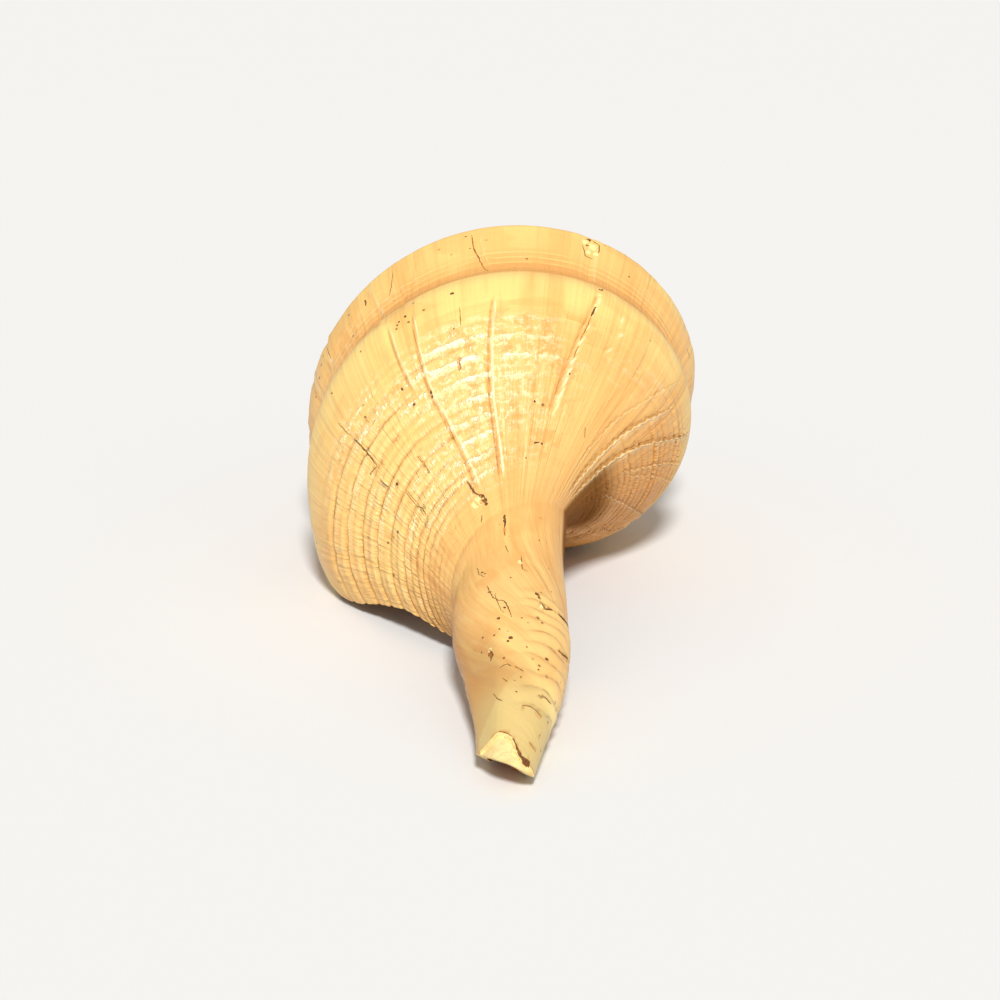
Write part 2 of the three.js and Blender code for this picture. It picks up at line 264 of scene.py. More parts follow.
# The scaly band on the canal's right side, where the notch of the canal's end has moved along
scales = {
    "azimuth": 196,
    "halfAngle": 80,
    "starts": [398, 412],
    "ends": [482, 494],
    "slant": -0.05,
    "wander": 0.9,
    "edges": [404, 412, 417.5, 424, 433, 441, 451, 460.5, 471, 483, 500],
}

# Painted shade on the canal's left facet, which is turned away from the light: up to which azimuth, as
# [depth, azimuth]
canalShade = {
    "border": [[395, 40], [452, 56], [460, 96], [467, 124], [478, 106], [487.5, 84], [500, 50]],
    "softness": 6,
    "start": [-60, -20],
    "from": [392, 416],
    "deepest": [35, 75],
    "leastShare": 0.6,
}


# Columns of one whorl as shares of a turn, closer together at the furrows
def columnShares():
    fine = np.linspace(0, 1, 4001)
    density = np.ones_like(fine)
    for centre, width in denseColumns:
        density += denseGain * np.exp(-(((fine - centre) / width) ** 2))
    count = np.concatenate([[0], np.cumsum((density[1:] + density[:-1]) / 2)])
    return np.interp(np.linspace(0, 1, shell["columnsPerWhorl"] + 1), count / count[-1], fine)


def stretchedRows(start, stretches):
    rows = [start]
    for end, count in stretches:
        rows.extend(np.linspace(rows[-1], end, count + 1)[1:])
    return np.array(rows)


def leaning(turns, across):
    along = (1 - smooth(turns, *lean["start"])) * smooth(turns, *lean["end"])
    return lean["turns"] * along * smooth(across, lean["from"], lean["to"])


# The outside as a glued sheet of faces, each a list of (column, row), and the key of each of its points
def sheetFaces(last, perWhorl, spireRow, neckRow, canalRow, endRow):
    bodyStart = last - perWhorl
    wide, tall = rowStretches["coarse"]
    faces = []

    def key(column, row):
        if row == 0 and column >= perWhorl:
            return column - perWhorl, spireRow  # a whorl's upper edge is the lower edge of the one before
        if row >= canalRow and column == last:
            return column - perWhorl, row  # the canal closes on itself
        return column, row

    for column in range(bodyStart, last):
        for row in range(neckRow):
            faces.append([(column, row), (column + 1, row), (column + 1, row + 1), (column, row + 1)])
    fine = {key(*corner) for face in faces for corner in face}

    def addBlock(left, right, top, bottom, fanFromBottom):
        corners = [(left, top), (right, top), (right, bottom), (left, bottom)]
        loop = [(c, top) for c in range(left, right)] + [(right, r) for r in range(top, bottom)]
        loop += [(c, bottom) for c in range(right, left, -1)] + [(left, r) for r in range(bottom, top, -1)]
        ring = [p for p in loop if p in corners or key(*p) in fine]
        if len(ring) == len(corners):
            faces.append(ring)
            return
        start = ring.index(corners[3] if fanFromBottom else corners[0])
        ring = ring[start:] + ring[:start]
        for second, third in zip(ring[1:], ring[2:]):
            faces.append([ring[0], second, third])

    for column in range(0, bodyStart, wide):
        for row in range(0, spireRow, tall):
            addBlock(column, column + wide, row, row + tall, False)
    for column in range(bodyStart, last, wide):
        for row in range(neckRow, endRow):
            addBlock(column, column + wide, row, row + 1, True)
    return faces, key


def buildSheet():
    perWhorl = shell["columnsPerWhorl"]
    last = int(shell["whorls"] * perWhorl)
    bodyStart = last - perWhorl
    overWhorl = [*rowStretches["spire"], *rowStretches["rim"], *rowStretches["base"]]
    distances = stretchedRows(rowStretches["start"], overWhorl)
    canalDepths = stretchedRows(shell["canalDepths"][0], rowStretches["canal"])
    spireRow = sum(count for end, count in rowStretches["spire"])
    neckRow = len(distances) - 1
    canalRow = neckRow + rowStretches["columnRows"]
    endRow = canalRow + len(canalDepths) - 1
    faces, key = sheetFaces(last, perWhorl, spireRow, neckRow, canalRow, endRow)

    # The apex, the canal's end and the face of the lip close the sheet
    apex, canalEnd = (-1, 0), (-1, 1)
    wide, tall = rowStretches["coarse"]
    apexLoop = [(column, 0) for column in range(0, perWhorl + 1, wide)]
    apexLoop += [(0, row) for row in range(spireRow - tall, 0, -tall)]
    for first, second in zip(apexLoop, apexLoop[1:] + apexLoop[:1]):
        faces.append([apex, second, first])
    for column in range(bodyStart, last, wide):
        faces.append([canalEnd, (column, endRow), (column + wide, endRow)])
    lipLoop = [(last, row) for row in range(canalRow + 1)]
    lipLoop += [(bodyStart, row) for row in range(canalRow - 1, spireRow, -1)]

    vertexOf = {}
    for corner in (corner for face in faces for corner in face):
        vertexOf.setdefault(key(*corner), len(vertexOf))
    keys = np.array(list(vertexOf))
    columns, rows = keys[:, 0], keys[:, 1]

    # Each column's place in whorls before the lip, and each row's across or share of the canal
    shares = columnShares()
    before = last - np.arange(last + 1)
    turnsOfColumn = -(before // perWhorl) - shares[before % perWhorl]
    onWhorls = rows <= neckRow
    across = distances[np.clip(rows, 0, neckRow)]
    turns = turnsOfColumn[np.clip(columns, 0, last)]
    turns = np.where(columns < 0, 0, turns + leaning(turns, across))
    size = growth(turns)
    p = profileAt(across)
    atLip = np.clip(turns * 360 / shell["thinningReach"] + 1, 0, 1)
    inset = shell["lipThinning"] * atLip * pastSuture(across)
    radius, depth = p[:, 0] - inset / size, p[:, 1].copy()
    worn = smooth(across, 4, 22) * (1 - smooth(across, 34, 62)) * smooth(turns * 360, -16, 0)
    lead = lipLead(turns, across) - shell["lipNotch"] * worn

    columnShare = np.clip((rows - neckRow) / rowStretches["columnRows"], 0, 1)
    neckRadius, neckDepth = shell["neck"]
    canalTop, canalBottom = canalDepths[0], canalDepths[-1]
    ownDepth = lerp(neckDepth * size, canalTop, columnShare)
    canalRows = np.clip(rows - canalRow, 0, endRow - canalRow)
    ownDepth = np.where(rows > canalRow, canalDepths[canalRows], ownDepth)
    neckLead = shell["neckLead"] * smooth(turns * 360, -shell["leadReach"], 0)
    columnLead = lerp(neckLead, slotLead(canalTop), smooth(columnShare, 0, 1))
    lead = np.where(onWhorls, lead, np.where(rows > canalRow, slotLead(ownDepth), columnLead))
    radius = np.where(onWhorls, radius, neckRadius)
    depth = np.where(onWhorls, depth, ownDepth / size)
    azimuth = -turns * 360 - lead
    drift = ((lead - neckLead) / 360 + shell["canalTwist"] * (ownDepth - neckDepth * size) ** 2) * ~onWhorls
    fixed = canalPoint(azimuth, ownDepth, smooth(ownDepth, canalTop, lerp(canalTop, canalBottom, 0.4)))
    fixedShare = np.where(onWhorls, 0, smooth(columnShare, 0, 0.7))

    # The two closing points
    isApex, isEnd = (columns < 0) & (rows == 0), (columns < 0) & (rows == 1)
    apexDepth = shell["suture"][1] * growth(-shell["whorls"]) * 0.6
    fixed[isApex] = [0, 0, -apexDepth]
    fixed[isEnd] = [0, 0, -canalBottom]
    fixedShare[isApex | isEnd] = 1
    across = np.where(onWhorls, across, neckAcross + ownDepth - neckDepth * size)

    # Triangles over the lip's face, drawn in its half plane
    lipPoints = [vertexOf[key(*corner)] for corner in lipLoop]
    flat = [Vector((radius[i] * size[i], -depth[i] * size[i], 0)) for i in lipPoints]
    for a, b, c in tessellate_polygon([flat]):
        turned = (flat[b] - flat[a]).cross(flat[c] - flat[a]).z < 0
        faces.append([lipLoop[i] for i in ((a, c, b) if turned else (a, b, c))])

    mesh = bpy.data.meshes.new("sheet")
    polygons = [[vertexOf[key(*corner)] for corner in face] for face in faces]
    mesh.from_pydata([(0, 0, 0)] * len(keys), [], polygons)

    corners = np.array([corner for face in faces for corner in face])
    cornerTurns = turnsOfColumn[np.clip(corners[:, 0], 0, last)]
    cornerTurns = cornerTurns + leaning(cornerTurns, distances[np.clip(corners[:, 1], 0, neckRow)])
    cornerTurns = np.where(corners[:, 0] < 0, 0, cornerTurns)
    vertexAt = np.concatenate(polygons)
    onRows = (corners[:, 1] <= neckRow) & (corners[:, 0] >= 0)
    rowAcross = np.where(onRows, distances[np.clip(corners[:, 1], 0, neckRow)], across[vertexAt])
    growthMap = np.stack([cornerTurns + drift[vertexAt], rowAcross / 100], axis=1)
    mesh.uv_layers.new(name="growth").data.foreach_set("uv", growthMap.astype(np.float32).ravel())

    canalDepth = np.where(onWhorls, 0, ownDepth)
    furrow, furrowEdgeHighlight = furrowDepths(turns, across, size, onWhorls & (columns >= bodyStart))
    scalePhase, scaleStrength = scalePlace(azimuth, canalDepth)
    attributes = {
        "turns": turns,
        "across": across,
        "lead": np.radians(lead),
        "fixedShare": fixedShare,
        "profile": np.stack([radius, radius * 0, -depth], axis=1),
        "fixedPlace": fixed,
        "furrow": furrow,
        "furrowEdgeHighlight": furrowEdgeHighlight,
        "growthAt": turns + drift,
        "cordStrength": np.interp(turns, *np.array(cordStrengths).T) * onWhorls,
        "growthStrength": np.interp(turns, *np.array(growthStrengths).T) * onWhorls,
        "scalePhase": scalePhase,
        "scaleStrength": scaleStrength,
        "onCanal": smooth(canalDepth, *shell["canalFrom"]),
        # painted shade on the canal's left facet
        "canalShaded": canalShadePlace(azimuth, canalDepth),
        "atTip": smooth(canalDepth, *shell["paleFrom"]),
    }
    for name, values in attributes.items():
        store(mesh, name, values)
    mesh.update()
    print("sheet:", len(keys), "points")
    return mesh


def store(mesh, name, values):
    values = np.asarray(values, np.float32)
    kind, field = ("FLOAT_VECTOR", "vector") if values.ndim == 2 else ("FLOAT", "value")
    mesh.attributes.new(name, kind, "POINT").data.foreach_set(field, values.ravel())


# Which spiral cord a place belongs to; they get narrower towards the column
def cordPhase(across):
    x = np.asarray(across) - reliefSizes["Smooth band"]
    return x / reliefSizes["Cord pitch"] * (1 + x / reliefSizes["Cord narrowing"])


# How far around and beyond its ends a furrow is looked for, and how far it and a ridge fade out, in mm
furrowReach = {"turns": 0.08, "across": 8, "fade": 10, "ridgeFade": 24, "ridgeWave": 0.3}


# How deep the furrows are at each point, with a raised edge, and how strong the painted highlight on their
# lit edge is
def furrowDepths(turns, across, size, wanted):
    depths, edges = np.zeros(len(turns)), np.zeros(len(turns))
    around = 2 * math.pi * profileAt(across)[:, 0]
    wave = np.sin(2 * math.pi * cordPhase(across))
    rows = [(False, *furrow) for furrow in furrows] + [(True, *ridge) for ridge in ridges]
    for isRidge, halfWidth, depth, *path in rows:
        path = np.array(path)
        low, high = path[:, 1].min() - furrowReach["across"], path[:, 1].max() + furrowReach["across"]
        close = wanted & (np.abs(turns - path[:, 0].mean()) < furrowReach["turns"])
        close &= (across > low) & (across < high)
        where = np.where(close)[0]
        gaps = np.full(len(where), 1e9)
        for (t0, a0), (t1, a1) in zip(path, path[1:]):
            share = np.clip((across[where] - a0) / (a1 - a0), 0, 1)
            sideways = (turns[where] - lerp(t0, t1, share)) * around[where] * size[where]
            sideways = sideways + isRidge * furrowReach["ridgeWave"] * wave[where]
            lengthways = (across[where] - lerp(a0, a1, share)) * size[where]
            gap = np.hypot(sideways, lengthways) * np.where(sideways < 0, -1, 1)
            gaps = np.where(np.abs(gap) < np.abs(gaps), gap, gaps)
        x = gaps / halfWidth
        start, end, fade = path[0, 1], path[-1, 1], furrowReach["ridgeFade" if isRidge else "fade"]
        ends = smooth(across[where], start, start + fade) * (1 - smooth(across[where], end - fade, end))
        cut = np.exp(-(x**2)) - 0.45 * np.exp(-((x + 1.9) ** 2))
        if isRidge:
            step = x / np.where(x > 0, 0.5, 2.4)
            cut = 0.55 * np.exp(-(((x - 1.1) / 0.7) ** 2)) - 0.9 * np.exp(-(step**2))
        depths[where] += depth * cut * ends
        edges[where] += (not isRidge) * depth * ends * np.exp(-(((x + 1.7) / 0.6) ** 2))
    return depths, edges


# Overlapping scales with their edges towards the canal's end: how far along them a place is, how strong
def scalePlace(azimuth, depth):
    turned = (np.asarray(azimuth) - scales["azimuth"] + 180) % 360 - 180
    side = 1 - smooth(np.abs(turned), scales["halfAngle"] * 0.45, scales["halfAngle"])
    place = smooth(depth, *scales["starts"]) * (1 - smooth(depth, *scales["ends"]))
    waves = np.sin(turned * 0.11 + depth * 0.17) + 0.6 * np.sin(turned * 0.05 - depth * 0.31)
    slanted = depth - scales["slant"] * turned + scales["wander"] * waves
    return np.interp(slanted, scales["edges"], np.arange(len(scales["edges"]))), side * place


# The painted shade on the canal's left side: how strong it is at each point
def canalShadePlace(azimuth, depth):
    turned = (np.asarray(azimuth) + 90) % 360 - 90
    border = np.interp(depth, *np.array(canalShade["border"]).T)
    side = smooth(border - turned, 0, canalShade["softness"]) * smooth(turned, *canalShade["start"])
    deeper = lerp(1, canalShade["leastShare"], smooth(turned, *canalShade["deepest"]))
    return side * deeper * smooth(depth, *canalShade["from"])


# The direction of the canal's slot, as the lead of the sheet's closing edge
def slotLead(depth):
    stations = np.array(groove["stations"])
    return np.interp(depth, stations[:, 0], stations[:, 2]) - 180 - shell["leftAzimuth"]


# The canal's groove: [depth, distance from the axis, direction, radius, half width of the slot]
groove = {
    "stations": [
        [330, 34, 224, 9, 3.5],
        [350, 27, 231, 9.5, 3.8],
        [366, 21, 240, 9.5, 4.2],
        [385, 15, 248, 9.5, 4.5],
        [405, 11, 251, 10, 4.5],
        [430, 8, 254, 10.5, 4.5],
        [460, 6, 257, 10, 4.5],
        [490, 4.5, 260, 8.5, 4.6],
        [520, 3.5, 262, 7.4, 4.8],
        [550, 3, 263, 7, 5],
    ],
    "sides": 28,
    "rings": 60,
    "slotReach": 60,
}


def addNode(tree, kind, inputs=None, **settings):
    node = tree.nodes.new(kind)
    for name, value in settings.items():
        setattr(node, name, value)
    for socket, value in (inputs or {}).items():
        plug(tree, node.inputs[socket], value)
    return node


def plug(tree, socket, value):
    if isinstance(value, Field):
        value = value.socket
    if isinstance(value, bpy.types.NodeSocket):
        tree.links.new(value, socket)
    else:
        socket.default_value = value


# A value in a tree; adding to it, multiplying it and so on makes the node for that
class Field:
    def __init__(self, nodes, socket):
        self.nodes = nodes
        self.socket = socket

    def __add__(self, other):
        return self.nodes.maths("ADD", self, other)

    def __radd__(self, other):
        return self.nodes.maths("ADD", other, self)

    def __sub__(self, other):
        return self.nodes.maths("SUBTRACT", self, other)

    def __rsub__(self, other):
        return self.nodes.maths("SUBTRACT", other, self)

    def __mul__(self, other):
        return self.nodes.maths("MULTIPLY", self, other)

    def __truediv__(self, other):
        return self.nodes.maths("DIVIDE", self, other)


# Short ways to write the nodes that every tree here uses
class Fields:
    def __init__(self, tree):
        self.tree = tree

    def made(self, kind, inputs, **settings):
        return Field(self, addNode(self.tree, kind, inputs, **settings).outputs[0])

    def maths(self, operation, *values, clamp=False):
        return self.made("ShaderNodeMath", dict(enumerate(values)), operation=operation, use_clamp=clamp)

    def ramp(self, value, low, high, start=0.0, end=1.0):
        inputs = dict(enumerate([value, low, high, start, end]))
        return self.made("ShaderNodeMapRange", inputs, interpolation_type="SMOOTHSTEP")

    def vector(self, x, y, z=0.0):
        return self.made("ShaderNodeCombineXYZ", {0: x, 1: y, 2: z})

    def noise(self, place, scale=1.0, detail=2.0, roughness=0.5):
        inputs = {"Vector": place, "Scale": scale, "Detail": detail, "Roughness": roughness}
        return self.made("ShaderNodeTexNoise", inputs)


def newTree(name, inputs):
    tree = bpy.data.node_groups.new(name, "GeometryNodeTree")
    for side in ("INPUT", "OUTPUT"):
        tree.interface.new_socket("Geometry", in_out=side, socket_type="NodeSocketGeometry")
    kinds = {float: "NodeSocketFloat", int: "NodeSocketInt"}
    for label, value in inputs.items():
        kind = kinds.get(type(value), "NodeSocketMaterial")
        tree.interface.new_socket(label, in_out="INPUT", socket_type=kind).default_value = value
    return tree, tree.nodes.new("NodeGroupInput"), tree.nodes.new("NodeGroupOutput")


# The end of a tree: real geometry with its material
def endTree(tree, made, geometry, material):
    real = addNode(tree, "GeometryNodeRealizeInstances", {"Geometry": geometry.outputs[0]})
    coloured = addNode(tree, "GeometryNodeSetMaterial", {"Geometry": real.outputs[0], "Material": material})
    tree.links.new(coloured.outputs[0], made.inputs["Geometry"])


def newObject(name, data):
    item = bpy.data.objects.new(name, data)
    bpy.context.scene.collection.objects.link(item)
    return item


def evaluatedMesh(item):
    return bpy.data.meshes.new_from_object(item.evaluated_get(bpy.context.evaluated_depsgraph_get()))


# Runs a tree on a mesh and gives back the plain mesh that comes out of it
def runTree(mesh, tree, inputs):
    holder = newObject(tree.name, mesh)
    modifier = holder.modifiers.new(tree.name, "NODES")
    modifier.node_group = tree
    for socket in tree.interface.items_tree:
        if socket.name in inputs:
            modifier[socket.identifier] = inputs[socket.name]
    made = evaluatedMesh(holder)
    holder.modifiers.remove(modifier)
    bpy.data.objects.remove(holder)
    return made


# The relief of the outside, in millimetres at the lip; older whorls carry the same relief, made smaller
reliefSizes = {
    "Growth per whorl": shell["growthPerWhorl"],
    "Smooth band": 26.0,
    "Cord pitch": 6.5,
    "Cord narrowing": 700.0,
    "Cord height": 1.6,
    "Odd furrows near the lip": 0.12,
    "Cord wander": 2.4,
    "Cord shake": 2.0,
    "Channel thread pitch": 4.2,
    "Channel thread height": 0.2,
    "Fold height": 0.95,
    "Growth line height": 0.4,
    "Scale height": 1.05,
    "Streak height": 0.6,
    "Lip flare": 3.6,
    "Inset": 0.3,
    "Seed": 7,
}


def coilTree(material):
    tree, given, made = newTree("coil and relief", {**reliefSizes, "Material": material})
    f = Fields(tree)
    size = {socket.name: Field(f, socket) for socket in given.outputs}

    def stored(name, kind="FLOAT"):
        node = addNode(tree, "GeometryNodeInputNamedAttribute", {"Name": name}, data_type=kind)
        return Field(f, next(socket for socket in node.outputs if socket.enabled))

    turns, across, growthAt = stored("turns"), stored("across"), stored("growthAt")
    seed = size["Seed"] * 3.7
    scale = f.maths("POWER", size["Growth per whorl"], turns)

    # Coil: the profile turns about the axis and grows
    profile = stored("profile", "FLOAT_VECTOR")
    grown = addNode(tree, "ShaderNodeVectorMath", {0: profile, 3: scale}, operation="SCALE")
    angle = turns * (-2 * math.pi) - stored("lead")
    turned = addNode(tree, "ShaderNodeVectorRotate", {"Vector": grown.outputs[0], "Angle": angle})
    place = addNode(tree, "ShaderNodeMix", data_type="VECTOR")
    for name, value in (("Factor_Float", stored("fixedShare")), ("A_Vector", turned.outputs[0]),
                        ("B_Vector", stored("fixedPlace", "FLOAT_VECTOR"))):
        plug(tree, next(s for s in place.inputs if s.identifier == name), value)
    placed = next(s for s in place.outputs if s.identifier == "Result_Vector")
    coiled = addNode(tree, "GeometryNodeSetPosition", {"Geometry": size["Geometry"], "Position": placed})

    # Spiral cords: flat ribs with narrow furrows, uneven along their length
    wander = f.noise(f.vector(turns * 5.0, across * 0.02, seed), detail=2.0)
    shaky = f.noise(f.vector(turns * 70.0, across * 0.05, seed), detail=1.0)
    offset = (wander - 0.5) * size["Cord wander"] + (shaky - 0.5) * size["Cord shake"]
    belowRim = across + offset - size["Smooth band"]
    narrowing = 1.0 + belowRim / size["Cord narrowing"]
    phase = belowRim / size["Cord pitch"] * narrowing
    fromRib = f.maths("ABSOLUTE", f.maths("FRACT", phase) * 2.0 - 1.0)
    nextFurrow = f.maths("FLOOR", phase + 0.5)
    odd = f.maths("ABSOLUTE", nextFurrow - f.maths("FLOOR", nextFurrow * 0.5) * 2.0)
    paired = odd * f.ramp(turns, -0.6, -0.52) * f.ramp(across, 104.0, 124.0, 1.0, 0.0)
    furrowStrength = 1.0 - paired * (1.0 - size["Odd furrows near the lip"])
    rib = 0.35 - f.ramp(fromRib, 0.3, 1.0) * furrowStrength
    each = f.maths("FLOOR", phase)
    uneven = f.noise(f.vector(turns * 9.0, each * 0.73, seed), detail=1.0)
    nearerRim = across + f.ramp(turns, -0.64, -0.52, 14.0, 0.0) + f.ramp(turns, -0.3, -0.14, 0.0, -20.0)
    toColumn = f.ramp(across, neckAcross * 0.74, neckAcross, 1.0, 0.12)
    overBase = f.ramp(nearerRim, 14.0, 38.0) * toColumn * stored("cordStrength")
    ribStrength = f.ramp(uneven, 0.3, 0.68, 0.35, 1.2) * overBase
    cords = rib * ribStrength * size["Cord height"]

    # Threads in the channel behind the rim
    wave = f.maths("SINE", across * (2 * math.pi) / size["Channel thread pitch"])
    inChannel = f.ramp(across, -31.0, -26.0) * f.ramp(across, -8.0, -3.0, 1.0, 0.0)
    threads = wave * inChannel * size["Channel thread height"]

    # Growth: broad folds and finer lines from the suture to the column
    folds = f.noise(f.vector(growthAt * 38.0, across * 0.008, seed), detail=2.0)
    lines = f.noise(f.vector(growthAt * 120.0, across * 0.012, seed), detail=2.0, roughness=0.6)
    nearRim = f.ramp(across, -22.0, -2.0, 1.0, 0.25) * f.ramp(across, 8.0, 44.0, 0.0, 1.0)
    awayFromRim = f.maths("MAXIMUM", nearRim, f.ramp(across, -24.0, -4.0, 0.8, 0.15))
    folding = (folds - 0.5) * 2.0 * size["Fold height"]
    lining = (lines - 0.5) * 2.0 * size["Growth line height"]
    grownRelief = (folding + lining) * awayFromRim * stored("growthStrength")

    # The canal: slanting streaks and scales
    streaks = f.noise(f.vector(growthAt * 26.0, across * 0.01, seed), detail=3.0, roughness=0.6)
    streaked = (streaks - 0.5) * 2.0 * size["Streak height"] * stored("onCanal")
    alongScale = f.maths("FRACT", stored("scalePhase"))
    rise, fall = f.ramp(alongScale, 0.0, 0.3, -0.5, 0.5), f.ramp(alongScale, 0.3, 1.0)
    scaled = (rise - fall) * stored("scaleStrength") * size["Scale height"]
    streaked = streaked * (1.0 - stored("scaleStrength") * 0.8)

    flare = f.ramp(turns, -0.13, -0.02) * f.ramp(across, 6.0, 26.0) * f.ramp(across, 40.0, 84.0, 1.0, 0.0)
    flare = flare * size["Lip flare"]
    whorled = (cords + threads + grownRelief) * scale
    relief = whorled + streaked + scaled - stored("furrow")
    shape = (flare - size["Inset"]) * scale
    normal = tree.nodes.new("GeometryNodeInputNormal").outputs[0]
    lift = addNode(tree, "ShaderNodeVectorMath", {0: normal, 3: relief + shape}, operation="SCALE")
    last = addNode(tree, "GeometryNodeSetPosition",
                   {"Geometry": coiled.outputs[0], "Offset": lift.outputs[0]})
    for name, value in {"relief": relief, "cordPhase": phase, "ribStrength": ribStrength}.items():
        last = addNode(tree, "GeometryNodeStoreNamedAttribute",
                       {"Geometry": last.outputs[0], "Name": name, "Value": value}, data_type="FLOAT")
    endTree(tree, made, last, size["Material"])
    return tree


# A closed mesh through rings of points, with a flat face over each end
def loft(name, rings):
    count = len(rings[0])
    points = np.vstack(rings)
    faces = []
    for ring in range(len(rings) - 1):
        for i in range(count):
            a, b = ring * count + i, ring * count + (i + 1) % count
            faces.append([a, a + count, b + count, b])
    last = (len(rings) - 1) * count
    faces.append(list(range(count)))
    faces.append([last + i for i in reversed(range(count))])
    return outward(name, points, faces)


# A mesh whose faces point out, whichever way round its points were listed
def outward(name, points, faces):
    mesh = bpy.data.meshes.new(name)
    mesh.from_pydata(np.asarray(points).tolist(), [], faces)
    work = bmesh.new()
    work.from_mesh(mesh)
    bmesh.ops.recalc_face_normals(work, faces=work.faces)
    if work.calc_volume(signed=True) < 0:
        bmesh.ops.reverse_faces(work, faces=work.faces)
    work.to_mesh(mesh)
    work.free()
    return mesh


# The hollow inside the whorls, and a little past the lip
hollow = {
    "turns": 1.17,
    "stepsPerWhorl": 64,
    "wall": 4.6,
    "lipWall": 3.0,
    "neckWall": 6.0,  # what is added to the wall towards the neck
    "thinning": 30,  # degrees before the lip where the wall starts to thin
    "lipEdge": 4,
    "reach": 30,
    "outsideShares": [0.2, 0.965],
    "inside": [[25, 350], [25, 300], [25, 262], [30, 244.5], [47.6, 221.5], [58.6, 208.5], [67, 195],
               [72.6, 182], [74.2, 175.5]],
    "outsidePoints": 46,
    "insidePoints": 30,
}


def hollowOutline(thickness):
    outer = upperKnots + middleKnots[1:] + lowerKnots[1:]
    shares = np.linspace(*hollow["outsideShares"], hollow["outsidePoints"])
    on = curveThrough(outer, shares)
    tangent = curveThrough(outer, shares + 1e-4) - curveThrough(outer, shares - 1e-4)
    tangent /= np.linalg.norm(tangent, axis=1)[:, None]
    distance = thickness + hollow["neckWall"] * smooth(shares, 0.66, 0.92)
    outside = on + np.stack([-tangent[:, 1], tangent[:, 0]], axis=1) * distance[:, None]
    inner = [outside[-1], *hollow["inside"], outside[0]]
    inside = curveThrough(inner, np.linspace(0, 1, hollow["insidePoints"] + 2)[1:-1])
    return np.vstack([outside, inside])


def hollowMesh():
    back = round(hollow["turns"] * hollow["stepsPerWhorl"])
    angles = [-360 * step / hollow["stepsPerWhorl"] for step in range(back, 0, -1)]
    angles += [0, hollow["lipEdge"], hollow["reach"] / 2, hollow["reach"]]
    rings = []
    for angle in angles:
        thinned = float(smooth(angle, -hollow["thinning"], hollow["lipEdge"]))
        outline = hollowOutline(lerp(hollow["wall"], hollow["lipWall"], thinned)) * growth(angle / 360)
        rings.append(onAxis(outline[:, 0], outline[:, 1], -angle))
    return loft("hollow", rings)


# A round bed with a slot that opens to the outside
def grooveMesh():
    stations = curveThrough(groove["stations"], np.linspace(0, 1, groove["rings"]))
    rings = []
    for depth, distance, direction, radius, slot in stations:
        azimuth = shell["leftAzimuth"] + 180 - direction
        centre = onAxis(distance, depth, azimuth)
        out, side = onAxis(1, 0, azimuth), onAxis(1, 0, azimuth + 90)
        start = math.asin(slot / radius)
        turns = np.linspace(start, 2 * math.pi - start, groove["sides"] + 1)
        bed = centre + radius * (np.cos(turns)[:, None] * out + np.sin(turns)[:, None] * side)
        slotEnds = [centre + groove["slotReach"] * out + sign * slot * side for sign in (-1, 1)]
        rings.append(np.vstack([bed, slotEnds]))
    return loft("canal groove", rings)


# The broken front end: a plane at depth + skew * right + rake * up, rough like a fracture
brokenEnd = {
    "depth": 514.9,
    "skew": 0.59,
    "rake": 1.31,
    "half": 42,
    "cells": 90,
    "length": 60,
    "rough": 0.55,
    "lumps": [[9, 1.0], [21, 0.5], [61, 0.25]],  # how many across, and their share of the roughness
    "seed": 11,
}

# The layers that have flaked off the top of the broken end, as [right, depth]
chip = {
    "corners": [[-12.3, 513.5], [-11.6, 510.9], [-8.9, 510.6], [-4.8, 507.6], [-2.7, 508.1], [1.7, 511.4],
                [3.1, 516.8], [5.4, 522.5], [8.9, 524.3], [14, 526], [14, 560], [-13, 560]],
    "layers": [[0, 1.5], [-1.8, 0.6]],  # shift along the canal, thickness
    "height": 20,
    "jag": 0.35,
    "step": 0.8,
    "smoothFrom": 540,  # depth from which the outline stays straight
    "coreSides": 72,
    "coreDepths": [490, 580, 5],  # from, to and step
    "seed": 5,
}


# From the canal's own directions to the shell's frame: right, up and depth as seen from the tip
def fromCanal(right, up, depth):
    left = math.radians(shell["leftAzimuth"])
    right, up, depth = np.broadcast_arrays(np.asarray(right, float), up, depth)
    turned = [-right * math.cos(left) - up * math.sin(left), -right * math.sin(left) + up * math.cos(left)]
    return np.stack([*turned, -depth], axis=-1)


def brokenEndMesh():
    random = np.random.default_rng(brokenEnd["seed"])
    cells, half = brokenEnd["cells"], brokenEnd["half"]
    line = np.linspace(-half, half, cells + 1)
    right, up = np.meshgrid(line, line, indexing="ij")
    rough = np.zeros_like(right)
    for size, share in brokenEnd["lumps"]:
        at = np.linspace(0, size - 1, cells + 1)
        lumps = random.uniform(-1, 1, (size, size))
        for turned in range(2):
            lumps = np.array([np.interp(at, np.arange(size), row) for row in lumps]).T
        rough += share * lumps
    depth = brokenEnd["depth"] + brokenEnd["skew"] * right + brokenEnd["rake"] * up
    depth = depth + brokenEnd["rough"] * rough
    front = fromCanal(right.ravel(), up.ravel(), depth.ravel())
    back = front + fromCanal(0, 0, brokenEnd["length"])
    points = np.vstack([front, back])
    side, count = cells + 1, (cells + 1) ** 2
    faces = []
    for i in range(cells):
        for j in range(cells):
            quad = [i * side + j, (i + 1) * side + j, (i + 1) * side + j + 1, i * side + j + 1]
            faces += [quad, [count + k for k in reversed(quad)]]
    border = [i * side for i in range(cells)] + [cells * side + j for j in range(cells)]
    border += [i * side + cells for i in range(cells, 0, -1)] + list(range(cells, 0, -1))
    for a, b in zip(border, border[1:] + border[:1]):
        faces.append([a, b, count + b, count + a])
    return outward("broken end", points, faces)


